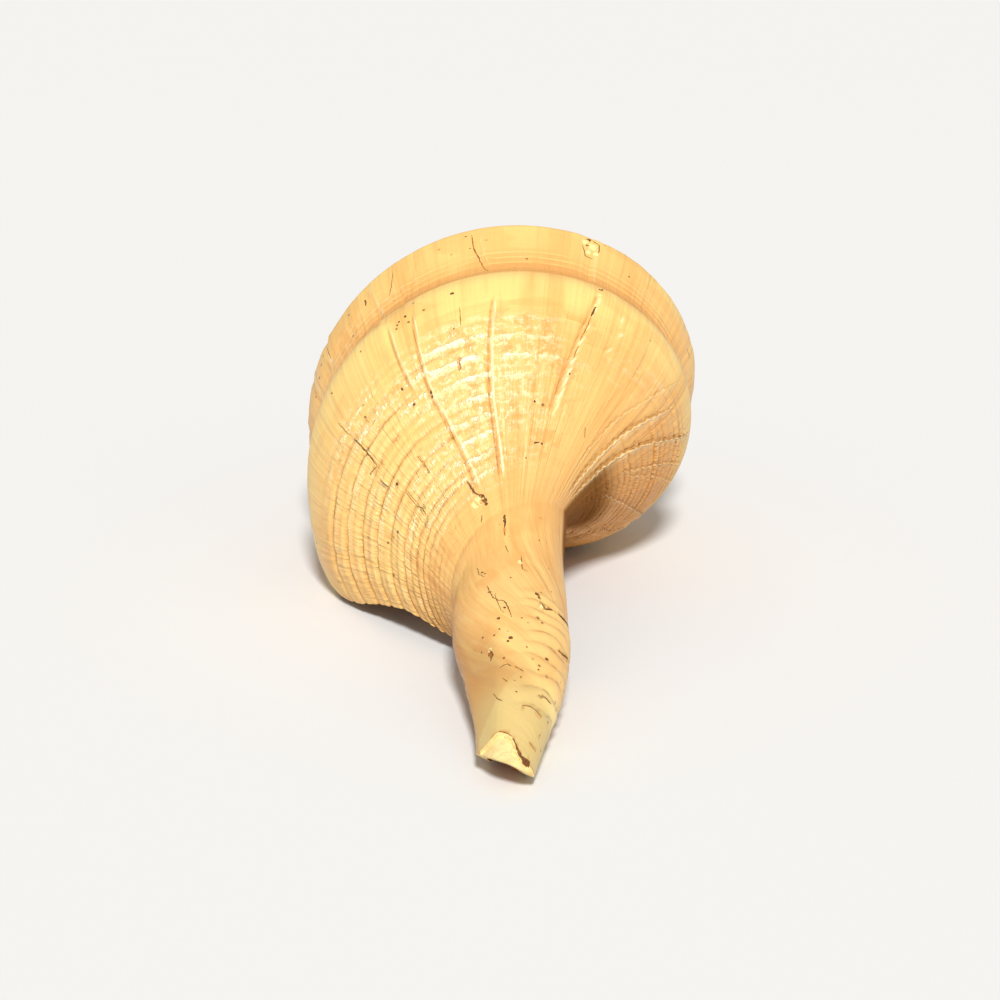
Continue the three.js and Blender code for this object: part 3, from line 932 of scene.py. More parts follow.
# What is left of the canal under a flaked layer
def canalCore(thickness):
    azimuths = np.linspace(0, 360, chip["coreSides"], endpoint=False)
    first, last, step = chip["coreDepths"]
    rings = []
    for depth in range(first, last + 1, step):
        ring = canalPoint(azimuths, np.full(len(azimuths), float(depth)), 1.0)
        radius = np.hypot(ring[:, 0], ring[:, 1])[:, None]
        ring[:, :2] *= (radius - thickness) / radius
        rings.append(ring)
    return loft("core", rings)


def chipMeshes():
    random = np.random.default_rng(chip["seed"])
    corners = np.array(chip["corners"], float)
    meshes = []
    for shift, thickness in chip["layers"]:
        outline = []
        for start, end in zip(corners, np.roll(corners, -1, axis=0)):
            straight = max(start[1], end[1]) >= chip["smoothFrom"]
            parts = 1 if straight else max(1, round(np.linalg.norm(end - start) / chip["step"]))
            for part in range(parts):
                jag = random.uniform(-chip["jag"], chip["jag"], 2) if part else 0
                outline.append(start + (end - start) * part / parts + jag + [0, shift])
        outline = np.array(outline)
        rings = [fromCanal(outline[:, 0], up, outline[:, 1]) for up in (0, chip["height"])]
        meshes.append(carve(loft("chip", rings), [(canalCore(thickness), brokenFinish)]))
    return meshes


# Cracks in the outside. On the whorls a path is [turns, across], and on the canal it is [azimuth, depth].
cracks = {
    "dark": {
        "whorls": [
            [0.23, [-0.222, -46], [-0.219, -38], [-0.214, -31]],
            [0.46, [-0.192, -43], [-0.192, -38]],
            [0.2, [-0.143, -50], [-0.144, -36]],
            [0.4, [-0.403, 0.5], [-0.401, 5]],
            [0.62, [-0.398, 20], [-0.397, 25], [-0.396, 29.5]],
            [0.26, [-0.438, 97], [-0.447, 103]],
            [0.23, [-0.529, -42], [-0.54, -41]],
            [0.38, [-0.146, 51], [-0.147, 58], [-0.147, 68], [-0.145, 74]],
            [0.23, [-0.145, 74], [-0.134, 72]],
            [0.23, [-0.149, 99], [-0.148, 108], [-0.153, 113], [-0.152, 119], [-0.142, 120]],
            [0.23, [-0.137, 80], [-0.137, 86]],
            [0.49, [-0.236, 124], [-0.241, 131], [-0.249, 135], [-0.259, 137]],
            [0.26, [-0.244, 147], [-0.237, 150.5]],
            [0.41, [-0.36, 115], [-0.37, 114]],
            [0.29, [-0.7, 40], [-0.705, 62], [-0.7, 75]],
            [0.32, [-0.86, 20], [-0.864, 38]],
            [0.26, [-0.62, -60], [-0.625, -34], [-0.62, -14]],
            [0.29, [-0.78, -90], [-0.784, -58]],
            [0.26, [-0.46, -95], [-0.456, -70]],
            [0.29, [-0.1, -100], [-0.097, -66]],
            [0.35, [-0.384, -51], [-0.39, -53], [-0.397, -49], [-0.397, -42]],
            [0.29, [-0.393, -36], [-0.386, -36], [-0.382, -44]],
        ],
        "canal": [
            [0.62, [106, 345], [107, 354]],
            [0.23, [129, 378], [131, 390], [137, 391]],
            [0.23, [111, 369], [115, 375]],
            [0.6, [149, 415], [154, 418], [169, 414], [190, 410], [204, 407]],
            [0.23, [79, 382], [84, 390], [91, 394]],
            [0.32, [95, 403], [101, 414], [106, 417], [112, 418], [115, 422], [118, 430]],
            [0.2, [103, 412], [108, 425], [111, 427]],
            [0.55, [86, 447], [90, 452], [86, 455]],
            [0.32, [99, 463], [110, 461], [115, 463]],
            [0.23, [120, 463], [131, 466]],
            [0.2, [103, 470], [110, 473]],
            [0.2, [86, 477], [93, 482], [103, 485]],
            [0.29, [156, 478], [168, 477], [182, 477]],
            [0.29, [135, 488], [149, 487], [162, 488], [172, 489]],
            [0.6, [176, 440], [186, 439], [198, 436]],
            [0.2, [162, 509], [183, 511]],
            [0.32, [102, 505.4], [112, 506.6], [126, 508.9]],
            [0.3, [90, 507], [104, 508], [117, 508.6]],
            [0.29, [232, 372], [240, 392]],
            [0.29, [262, 420], [275, 432], [272, 446]],
            [0.29, [20, 440], [28, 452]],
            [0.23, [300, 470], [292, 486]],
        ],
    },
    "faint": {
        "whorls": [
            [0.42, [-0.29, -49], [-0.291, -37], [-0.296, -26], [-0.303, -12]],
            [0.27, [-0.28, 25], [-0.279, 38]],
            [0.25, [-0.273, 57], [-0.27, 64]],
            [0.27, [-0.396, 30], [-0.393, 42], [-0.391, 48]],
            [0.24, [-0.391, 52], [-0.389, 60]],
            [0.22, [-0.143, 34], [-0.146, 50]],
            [0.3, [-0.189, 92], [-0.191, 100], [-0.19, 104]],
        ],
        "canal": [
            [0.5, [107, 354], [109, 361]],
        ],
    },
    "wedge": [0.42, [130, 510.6], [137, 514], [142, 516.8], [151, 520.3], [164, 522.1], [177, 522]],
    "widening": 6.5,  # how many times wider the wedge is at its end
    "step": 1.1,  # length of a stretch of crack
    "jag": 0.12,
    "seed": 3,
}

# Pits: places on the whorls and the canal, with their radius, and how many loose ones are strewn about
pits = {
    "whorls": [
        [-0.275, 13, 0.8], [-0.234, 14, 0.7], [-0.228, 15, 0.55], [-0.226, 16.5, 0.5],
        [-0.189, 13, 0.5], [-0.151, 14, 0.6], [-0.211, 56, 0.6], [-0.235, 68, 0.8],
        [-0.234, 70.5, 0.6], [-0.215, 68, 0.55], [-0.353, 90, 0.55], [-0.148, 91, 0.7],
        [-0.375, 115, 0.6], [-0.4, 4, 0.6], [-0.257, 139.5, 1.4], [-0.254, 137.5, 1.1],
        [-0.259, 142.5, 0.8], [-0.25, 136, 0.6], [-0.111, -40, 0.6], [-0.388, -52, 0.9],
    ],
    "canal": [
        [146, 409, 1.0], [148, 410.5, 0.7], [115, 444, 1.0], [112, 446, 0.6], [86, 450, 1.3],
        [160, 452, 0.8], [164, 463, 0.6], [87, 389, 0.7], [91, 391, 0.5], [98, 409, 0.6],
        [112, 423, 0.6], [88, 452.5, 1.0], [150, 462, 0.4], [146, 427, 0.5], [150, 430, 0.5],
        [103, 437, 0.5], [96, 440, 0.5], [80, 437, 0.6], [106, 457, 0.5], [128, 470, 0.4],
        [104, 430, 0.7], [120, 399, 0.4], [240, 430, 0.8], [300, 450, 0.9],
    ],
    "loose": 56,
    "looseRadii": [0.2, 0.42],
    "lift": 0,  # how far out a pit's middle is, in radii
    "seed": 21,
}

# Shallow flakes, with the same values
flakes = {
    "whorls": [[-0.385, -48, 2.4], [-0.391, -45, 3.0], [-0.395, -40, 2.2], [-0.388, -40, 2.0],
               [-0.4, 10, 1.6], [-0.399, 20, 1.5], [-0.245, 138, 2.6], [-0.235, 139, 2.2],
               [-0.256, 139.5, 2.6]],
    "canal": [[150, 418, 1.6], [88, 448, 1.5], [128, 384, 1.6]],
    "loose": 0,
    "looseRadii": [0.9, 1.8],
    "lift": 0.72,
    "seed": 5,
}


# The shell's surface near a place, with its normal
def onSurface(surface, place):
    found, normal, face, distance = surface.find_nearest(Vector(place))
    return found, normal


def placeOn(part, a, b):
    if part == "whorls":
        return whorlPoint(np.array([a]), np.array([float(b)]))[0]
    return canalPoint(np.array([float(a)]), np.array([float(b)]), 1.0)[0]


# Every crack of a kind as a chain of edges on the surface, with a radius for each point
def crackLines(surface, kind):
    random = np.random.default_rng(cracks["seed"])
    wanted = [(part, 1, *crack) for part in ("whorls", "canal") for crack in cracks[kind][part]]
    if kind == "dark":
        wanted.append(("canal", cracks["widening"], *cracks["wedge"]))
    points, edges, radii = [], [], []
    for part, widening, halfWidth, *corners in wanted:
        path = [placeOn(part, a, b) for a, b in corners]
        chain = [path[0]]
        for start, end in zip(path, path[1:]):
            parts = max(2, round(np.linalg.norm(end - start) / cracks["step"]))
            chain += [lerp(start, end, k / parts) for k in range(1, parts + 1)]
        first = len(points)
        for k, place in enumerate(chain):
            inner = 0 < k < len(chain) - 1
            jagged = place + random.normal(0, cracks["jag"], 3) * inner
            share = (k + 0.5) / len(chain)
            taper = 0.3 + 0.7 * math.sin(math.pi * share) ** 0.5
            if widening > 1:
                taper = lerp(1, widening, share**3)
            points.append(onSurface(surface, jagged)[0])
            radii.append(halfWidth * taper * random.uniform(0.65, 1.25))
            if k:
                edges.append((first + k - 1, first + k))
    mesh = bpy.data.meshes.new("crack lines")
    mesh.from_pydata(points, edges, [])
    store(mesh, "radius", radii)
    return mesh


def crackTree(material):
    tree, given, made = newTree("cracks", {"Sides": 7, "Depth": 1.0, "Material": material})
    radius = addNode(tree, "GeometryNodeInputNamedAttribute", {"Name": "radius"}, data_type="FLOAT")
    line = addNode(tree, "GeometryNodeMeshToCurve", {0: given.outputs["Geometry"]})
    ring = addNode(tree, "GeometryNodeCurvePrimitiveCircle",
                   {"Resolution": given.outputs["Sides"], "Radius": given.outputs["Depth"]})
    tube = addNode(tree, "GeometryNodeCurveToMesh",
                   {"Curve": line.outputs[0], "Profile Curve": ring.outputs[0], "Fill Caps": True,
                    "Scale": radius.outputs[0]})
    endTree(tree, made, tube, given.outputs["Material"])
    return tree


# Named pits on the surface, and strewn ones
def pitPoints(surface, wanted):
    random = np.random.default_rng(wanted["seed"])
    places = []
    for part in ("whorls", "canal"):
        places += [(placeOn(part, a, b), radius) for a, b, radius in wanted[part]]
    for k in range(wanted["loose"]):
        if k % 2:
            place = placeOn("canal", random.uniform(60, 210), random.uniform(350, 500))
        else:
            place = placeOn("whorls", -random.uniform(0.02, 0.99), random.uniform(-60, 148))
        places.append((place, random.uniform(*wanted["looseRadii"])))
    points, sizes = [], []
    for place, radius in places:
        spot, normal = onSurface(surface, place)
        points.append(spot + normal * radius * wanted["lift"])
        sizes.append(radius)
    mesh = bpy.data.meshes.new("pit points")
    mesh.from_pydata(points, [], [])
    store(mesh, "radius", sizes)
    return mesh


def pitTree(material):
    tree, given, made = newTree("pits", {"Longest": 1.7, "Seed": 21, "Material": material})
    f = Fields(tree)
    radius = f.made("GeometryNodeInputNamedAttribute", {"Name": "radius"}, data_type="FLOAT")
    seed = given.outputs["Seed"]
    blob = addNode(tree, "GeometryNodeMeshIcoSphere", {"Radius": 1.0, "Subdivisions": 2})
    turn = addNode(tree, "FunctionNodeRandomValue", {"Seed": seed}, data_type="FLOAT_VECTOR")
    turn.inputs[1].default_value = [2 * math.pi] * 3
    stretch = addNode(tree, "FunctionNodeRandomValue", {"Seed": seed}, data_type="FLOAT")
    plug(tree, stretch.inputs[2], 1.0)
    plug(tree, stretch.inputs[3], given.outputs["Longest"])
    stretched = next(s for s in stretch.outputs if s.enabled)
    sizes = f.vector(radius * stretched, radius, radius * 1.2)
    strewn = addNode(tree, "GeometryNodeInstanceOnPoints", {
        "Points": given.outputs["Geometry"], "Instance": blob.outputs[0],
        "Rotation": turn.outputs[0], "Scale": sizes})
    real = addNode(tree, "GeometryNodeRealizeInstances", {"Geometry": strewn.outputs[0]})
    place = tree.nodes.new("GeometryNodeInputPosition").outputs[0]
    rough = addNode(tree, "ShaderNodeTexNoise", {"Vector": place, "Scale": 0.9})
    shake = addNode(tree, "ShaderNodeVectorMath",
                    {0: rough.outputs[1], 1: (0.5, 0.5, 0.5)}, operation="SUBTRACT")
    shaken = addNode(tree, "GeometryNodeSetPosition",
                     {"Geometry": real.outputs[0], "Offset": shake.outputs[0]})
    coloured = addNode(tree, "GeometryNodeSetMaterial",
                       {"Geometry": shaken.outputs[0], "Material": given.outputs["Material"]})
    tree.links.new(coloured.outputs[0], made.inputs["Geometry"])
    return tree


# Colours as they look on a screen, 0 to 255
shades = {
    "ramp": (216, 169, 101),
    "crest": (235, 196, 115),
    "flank": (230, 180, 106),
    "channel": (224, 162, 88),
    # also used for painted highlights on crests and beads
    "rimZone": (237, 201, 121),
    "body": (231, 183, 108),
    "neck": (229, 178, 106),
    "canal": (230, 186, 115),
    "tip": (255, 240, 160),
    # also used for the painted shade under the body
    "streak": (218, 148, 74),
    # painted shade of the canal's left facet
    "canalShade": (184, 122, 58),
    # dark brown of furrows, nicks and dirt, also used for painted shade in hollows, under ridges and
    # scales, under the body and in corners
    "furrow": (148, 94, 40),
    # painted shade in the fold beside the column
    "fold": (108, 62, 18),
    # pale flecks of wear, also used for painted highlights
    "fleckAndHighlight": (253, 238, 192),
    "dirt": (112, 70, 34),
    "inside": (228, 168, 100),
    "insideDeep": (206, 130, 70),
    "chalk": (241, 216, 149),
    "chalkShade": (232, 196, 128),
}

# Where the ground colour changes, in millimetres across the profile; past the neck it runs down the canal
groundColours = [
    [-118, "ramp"], [-72, "flank"], [-54, "crest"], [-32, "flank"], [-19, "channel"], [-5, "channel"],
    [3, "rimZone"], [22, "rimZone"], [42, "body"], [118, "body"], [152, "neck"], [200, "neck"],
    [232, "canal"], [290, "canal"],
]


# How strongly each effect colours the outside, from 0 to 1
strengths = {
    "broadStreaks": 0.5,
    "fineStreaks": 0.3,
    "mottling": 0.35,
    "patches": 0.28,
    "canalStreaks": [0.34, 0.1],  # on the upper canal and near its end
    "paleCanalStreaks": 0.5,
    "tip": 0.75,
    "panels": 0.5,  # darker cells between the growth lines
    # crumbs: partly painted glints where the light falls
    "crumbs": 0.45,  # pale worn bits
    "nicks": 0.4,
    # painted highlight on high relief and painted shade in low relief
    "heights": 0.45,  # pale on high relief
    "hollows": 0.5,  # dark in low relief
    # darker scars of growth: partly their own colour, partly painted shade in their grooves
    "furrows": 0.4,
    # painted highlight on the furrows' lit edges
    "furrowEdges": 0.65,
    # painted shade under the body, beside the column and in the lip's corner
    "underneath": 0.72,
    "underneathDark": 0.17,
    "shadeByTheColumn": 0.85,
    "lipCornerShade": 0.45,
    # painted shade and painted highlight along the ridges
    "ridgeShade": 0.55,
    "ridgeHighlight": 0.42,
    "threads": 0.42,  # along the channel
    # painted shade on the canal's left facet
    "canalShade": 0.42,
    "specks": 0.8,
}


def shade(name):
    channels = [value / 255 for value in shades[name]]
    return [c / 12.92 if c <= 0.04045 else ((c + 0.055) / 1.055) ** 2.4 for c in channels] + [1]


def mixColour(tree, factor, first, second):
    node = addNode(tree, "ShaderNodeMix", data_type="RGBA")
    for name, value in (("Factor_Float", factor), ("A_Color", first), ("B_Color", second)):
        plug(tree, next(s for s in node.inputs if s.identifier == name), value)
    return next(s for s in node.outputs if s.identifier == "Result_Color")


def newFinish(name):
    material = bpy.data.materials.new(name)
    material.use_nodes = True
    tree = material.node_tree
    surface = tree.nodes["Principled BSDF"]
    return material, tree, surface, Fields(tree)


def addBump(tree, surface, layers):
    normal = None
    for height, distance in layers:
        node = addNode(tree, "ShaderNodeBump", {"Height": height, "Distance": distance, "Strength": 1.0})
        if normal:
            tree.links.new(normal, node.inputs["Normal"])
        normal = node.outputs[0]
    tree.links.new(normal, surface.inputs["Normal"])


drawnDepth = 0.2  # ridges no deeper than this are shape only: two more lines are too much for one material


# Painted shade and painted highlight of a ridge: its dark line and its bright line, drawn from its path
# with a wave at each cord
def ridgeLines(tree, f, turns, across, phase):
    widest = 150.0
    around = across * (-2 * math.pi * 0.42) + 2 * math.pi * 88.0  # millimetres in one turn there
    rough = f.noise(f.vector(across * 0.35, turns * 9.0, 3.0), detail=2.0)
    shift = f.maths("SINE", phase * (2 * math.pi)) * 0.25 + rough - 0.5
    dark, bright = 0.0, 0.0
    for halfWidth, depth, *path in [ridge for ridge in ridges if ridge[1] > drawnDepth]:
        line = addNode(tree, "ShaderNodeFloatCurve", {1: across * (1 / widest)})
        points = line.mapping.curves[0].points
        for k, (before, distance) in enumerate([[path[0][0], 0.0], *path, [path[-1][0], widest]]):
            point = points[k] if k < 2 else points.new(0.5, 0.5)
            point.location = (distance / widest, before + 1)
        line.mapping.update()
        gap = (turns - (Field(f, line.outputs[0]) - 1.0)) * around + shift
        start, end = path[0][1], path[-1][1]
        ends = f.ramp(across, start, start + 24.0) * f.ramp(across, end - 10.0, end, 1.0, 0.0)
        ends = ends * min(1.0, 0.15 + depth)
        near = ends * f.ramp(gap, 0.1, 0.5) * f.ramp(gap, 0.7, 1.7, 1.0, 0.0)
        dark = f.maths("MAXIMUM", near, dark)
        beyond = ends * f.ramp(gap, -1.0, -0.4) * f.ramp(gap, -0.2, 0.2, 1.0, 0.0)
        bright = f.maths("MAXIMUM", beyond, bright)
    return dark, bright


# What the layers of the outside's colour share, and its colour so far
class Outside:
    def __init__(self, tree, f):
        self.tree = tree
        self.f = f
        growthMap = addNode(tree, "ShaderNodeUVMap", uv_map="growth")
        split = addNode(tree, "ShaderNodeSeparateXYZ", {0: growthMap.outputs[0]})
        self.turns = Field(f, split.outputs[0])
        self.across = Field(f, split.outputs[1]) * 100.0
        self.solid = tree.nodes.new("ShaderNodeTexCoord").outputs["Object"]
        self.onBase = f.ramp(self.across, 138.0, 172.0, 1.0, 0.0)
        self.onCanal = f.ramp(self.across, 140.0, 185.0)
        self.scaly = 1.0 - self.stored("scaleStrength") * 0.85
        self.rib = self.stored("ribStrength")
        jagged = (self.along(150.0, 0.12, 2.0, 0.6, 22.0) - 0.5) * 0.3
        self.phase = self.stored("cordPhase") + jagged
        self.fromRib = f.maths("ABSOLUTE", f.maths("FRACT", self.phase) * 2.0 - 1.0)
        self.colour = None

    def along(self, perTurn, perMillimetre, detail=2.0, roughness=0.5, seed=0.0):
        place = self.f.vector(self.turns * perTurn, self.across * perMillimetre, seed)
        return self.f.noise(place, detail=detail, roughness=roughness)

    def stored(self, name):
        return Field(self.f, addNode(self.tree, "ShaderNodeAttribute", attribute_name=name).outputs["Fac"])

    def tint(self, factor, name):
        self.colour = mixColour(self.tree, factor, self.colour, shade(name))


# Ground colour, with a wavering edge between its zones
def groundColour(shared):
    f, tree, across, along = shared.f, shared.tree, shared.across, shared.along
    first, last = groundColours[0][0], groundColours[-1][0]
    wavering = across + (along(9.0, 0.03, 3.0) - 0.5) * 14.0
    share = f.maths("DIVIDE", wavering - float(first), float(last - first), clamp=True)
    zones = addNode(tree, "ShaderNodeValToRGB", {0: share})
    for k, (distance, name) in enumerate(groundColours):
        stop = (distance - first) / (last - first)
        if k < 2:
            element = zones.color_ramp.elements[k]
            element.position = stop
        else:
            element = zones.color_ramp.elements.new(stop)
        element.color = shade(name)
    return zones.outputs[0]


# Growth streaks, broad and fine, mottling, and the pale tip
def growthStreaks(shared):
    f, across, solid, scaly, onCanal = shared.f, shared.across, shared.solid, shared.scaly, shared.onCanal
    along, stored, tint = shared.along, shared.stored, shared.tint
    broad = f.ramp(along(24.0, 0.006, 3.0, 0.6, 2.0), 0.45, 0.72, 0.0, strengths["broadStreaks"])
    tint(broad * scaly, "streak")
    fine = f.ramp(along(130.0, 0.01, 3.0, 0.6, 5.0), 0.5, 0.78, 0.0, strengths["fineStreaks"])
    tint(fine * scaly, "streak")
    mottled = f.ramp(f.noise(solid, 26.0, 4.0, 0.6), 0.5, 0.75, 0.0, strengths["mottling"])
    tint(mottled, "rimZone")
    patchy = f.ramp(along(12.0, 0.045, 1.0, 0.4, 11.0), 0.56, 0.6, 0.0, strengths["patches"])
    tint(patchy, "channel")
    deeper = f.ramp(along(17.0, 0.022, 2.0, 0.5, 21.0), 0.5, 0.6) * onCanal * scaly
    tint(deeper * f.ramp(across, 245.0, 285.0, *strengths["canalStreaks"]), "streak")
    pale = f.ramp(along(50.0, 0.014, 3.0, 0.6, 12.0), 0.5, 0.66) * onCanal * scaly
    tint(pale * strengths["paleCanalStreaks"], "rimZone")
    tint(stored("atTip") * strengths["tip"], "tip")


# Pale beads on the cords, partly worn shell and partly painted glints of light, most of them on the upper
# left where the light falls, with darker cells and crumbs between them
def paleBeadsAndGlints(shared):
    f, turns, across, onBase = shared.f, shared.turns, shared.across, shared.onBase
    along, tint, phase = shared.along, shared.tint, shared.phase
    highlightZone = f.ramp(turns, -0.44, -0.3) * f.ramp(turns, -0.06, -0.18) * f.ramp(across, 30.0, 44.0)
    patches = f.maths("MAXIMUM", highlightZone * f.ramp(along(9.0, 0.03, 2.0, 0.5, 9.0), 0.34, 0.5),
                      f.ramp(along(5.0, 0.02, 2.0, 0.5, 8.0), 0.55, 0.68) * 0.4)
    stepped = (f.ramp(turns, -0.303, -0.301) + f.ramp(turns, -0.242, -0.238)) * 0.3
    bentPhase = phase * 0.5 + stepped + along(70.0, 0.03, 3.0, 0.6, 13.0) * 0.34
    acrossRow = f.maths("FRACT", bentPhase)
    row = f.ramp(acrossRow, 0.0, 0.1) * f.ramp(acrossRow, 0.1, 0.5, 1.0, 0.0)
    halfway = f.maths("FRACT", bentPhase + 0.45)
    between = f.ramp(halfway, 0.0, 0.1) * f.ramp(halfway, 0.1, 0.5, 0.75, 0.0)
    eachRow = f.vector(turns * 14.0, f.maths("FLOOR", bentPhase) * 0.73, 14.0)
    rowStrength = f.ramp(f.noise(eachRow, detail=2.0), 0.3, 0.6, 0.35, 1.0)
    dashes = f.ramp(along(400.0, 0.22, 2.0, 0.65, 4.0), 0.4, 0.6)
    lumps = f.ramp(along(80.0, 0.14, 3.0, 0.65, 15.0), 0.36, 0.62)
    whole = f.ramp(turns, -0.22, -0.25, 0.0, 0.75) * lumps
    crest = row * rowStrength * (whole + dashes * (0.3 + lumps))
    beads = f.maths("MAXIMUM", crest, between * dashes * lumps * 0.8)
    olderSide = f.maths("MAXIMUM", f.ramp(turns, -0.306, -0.3), f.ramp(across, 60.0, 95.0, 0.72, 0.15))
    worn = patches * f.ramp(beads, 0.1, 0.8) * olderSide * f.ramp(across, 26.0, 40.0)
    worn = worn * f.ramp(across, 118.0, 140.0, 1.0, 0.0)
    aboveColumn = f.ramp(across, 112.0, 136.0, 1.0, 0.0)
    # painted highlight: rows paler where the light falls
    paler = highlightZone * olderSide * f.ramp(row, 0.0, 1.0, 0.15, 0.45) * aboveColumn
    tint(paler, "rimZone")
    wobble = along(20.0, 0.1, 2.0, 0.5, 25.0) * 4.0
    cell = f.vector(f.maths("FLOOR", turns * 105.0 + wobble), f.maths("FLOOR", bentPhase))
    chance = f.made("ShaderNodeTexWhiteNoise", {"Vector": cell}, noise_dimensions="3D")
    panels = f.ramp(chance, 0.66, 0.7) * f.ramp(turns, -0.43, -0.38) * f.ramp(turns, -0.22, -0.29)
    panels = panels * f.ramp(across, 28.0, 36.0) * aboveColumn
    tint(panels * strengths["panels"], "streak")
    crumbs = patches * f.ramp(along(150.0, 0.3, 3.0, 0.6, 24.0), 0.48, 0.66) * aboveColumn
    tint(crumbs * strengths["crumbs"], "fleckAndHighlight")
    nicks = f.ramp(along(280.0, 0.14, 2.0, 0.6, 19.0), 0.56, 0.7) * f.ramp(turns, -0.26, -0.16) * onBase
    tint(nicks * f.ramp(across, 30.0, 50.0) * strengths["nicks"], "furrow")
    # pale worn beads, partly painted glints
    tint(worn, "fleckAndHighlight")
    return worn


# Painted shade in the furrows and the hollows of the relief, where the furrows are partly darker in colour
# too, and painted highlight on the cords' crests and on what stands high
def furrowShades(shared):
    f, turns, across, onBase = shared.f, shared.turns, shared.across, shared.onBase
    along, stored, tint = shared.along, shared.stored, shared.tint
    phase, fromRib, rib, relief = shared.phase, shared.fromRib, shared.rib, stored("relief")
    nextFurrow = f.maths("FLOOR", phase + 0.5)
    even = f.maths("COMPARE", f.maths("FRACT", nextFurrow * 0.5), 0.0, 0.1)
    alike = f.maths("MAXIMUM", f.ramp(turns, -0.5, -0.56), f.ramp(across, 104.0, 124.0))
    strong = f.maths("MAXIMUM", even, alike)
    furrowed = f.ramp(fromRib, 0.5, 1.0) * f.ramp(rib, 0.1, 0.9) * (0.15 + strong * 0.85)
    # painted highlight on the cords' crests
    crestHighlight = f.ramp(fromRib, 0.1, 0.7, 0.5, 0.0) * f.ramp(rib, 0.3, 0.9) * onBase
    tint(crestHighlight, "rimZone")
    # the cords' furrows darker: partly their own colour, partly painted shade
    darkness = f.ramp(along(90.0, 0.3, 2.0, 0.5, 23.0), 0.35, 0.62, 0.2, 0.46)
    older = f.ramp(turns, -0.6, -0.52, 2.1, 1.0)
    tint(furrowed * darkness * older, "furrow")
    # painted highlight on high relief, painted shade in low relief
    high = f.ramp(relief, 0.3, 1.1, 0.0, strengths["heights"]) * onBase
    tint(high, "fleckAndHighlight")
    low = f.ramp(relief, -2.2, -0.6, strengths["hollows"], 0.0) * (0.3 + onBase * 0.7)
    tint(low, "furrow")
    # scars darker: partly their own colour, partly painted shade in the groove
    scarred = f.ramp(stored("furrow"), 0.5, 1.0, 0.0, strengths["furrows"])
    tint(scarred, "furrow")
    # painted highlight on the lit edge of each furrow
    edgeHighlight = f.ramp(stored("furrowEdgeHighlight"), 0.2, 1.2, 0.0, strengths["furrowEdges"])
    tint(edgeHighlight, "fleckAndHighlight")
    return furrowed


# Painted shade under the body, beside the column and in the lip's corner
def paintedShadePlaces(shared):
    f, turns, across, tint = shared.f, shared.turns, shared.across, shared.tint
    columnShade = f.ramp(across, 88.0, 118.0, 0.0, strengths["shadeByTheColumn"]) * f.ramp(turns, -0.5, -0.53)
    columnShade = columnShade * f.ramp(turns, -0.75, -0.66)
    underneath = f.ramp(turns, -0.42, -0.62) * f.ramp(across, 0.0, 60.0) * f.ramp(turns, -0.95, -0.85)
    # painted shade: the underside browner and darker
    tint(underneath * strengths["underneath"], "streak")
    tint(underneath * strengths["underneathDark"], "furrow")
    tint(columnShade, "fold")
    lipCornerShade = f.ramp(turns, -0.13, -0.03) * f.ramp(across, 96.0, 130.0)
    tint(lipCornerShade * strengths["lipCornerShade"], "furrow")
    return columnShade


# Painted shade under the edges of the canal's scales
def scaleEdges(shared):
    f, along, stored, tint = shared.f, shared.along, shared.stored, shared.tint
    fromEdge = f.maths("ABSOLUTE", f.maths("FRACT", stored("scalePhase") + 0.5) - 0.5)
    scaleEdge = f.ramp(fromEdge, 0.0, 0.16, 1.0, 0.0) * stored("scaleStrength")
    shadedEdge = scaleEdge * f.ramp(along(20.0, 0.2, 2.0, 0.5, 16.0), 0.35, 0.65, 0.08, 0.5)
    tint(shadedEdge, "furrow")
    return shadedEdge


# Broken threads along the channel behind the rim
def channelThreads(shared):
    f, across, along, tint = shared.f, shared.across, shared.along, shared.tint
    inChannel = f.ramp(across, -36.0, -32.0) * f.ramp(across, -20.0, -16.0, 1.0, 0.0)
    threadWave = f.maths("SINE", (across + along(5.0, 0.02) * 3.0) * (2 * math.pi / 4.4))
    broken = f.ramp(along(30.0, 0.1, 2.0, 0.5, 17.0), 0.3, 0.55)
    threadLines = f.ramp(threadWave, 0.2, 1.0) * inChannel * broken
    tint(threadLines * strengths["threads"], "rimZone")
    return threadLines


# Painted shade on the canal's left facet, and dark specks of dirt
def canalShadeAndSpecks(shared):
    f, tree, solid, stored, tint = shared.f, shared.tree, shared.solid, shared.stored, shared.tint
    tint(stored("canalShaded") * strengths["canalShade"], "canalShade")
    specks = addNode(tree, "ShaderNodeTexVoronoi", {"Vector": solid, "Scale": 150.0})
    dots = f.ramp(specks.outputs["Distance"], 0.1, 0.16, 1.0, 0.0)
    dots = dots * f.ramp(f.noise(solid, 30.0, 2.0), 0.6, 0.66)
    tint(dots * strengths["specks"], "dirt")


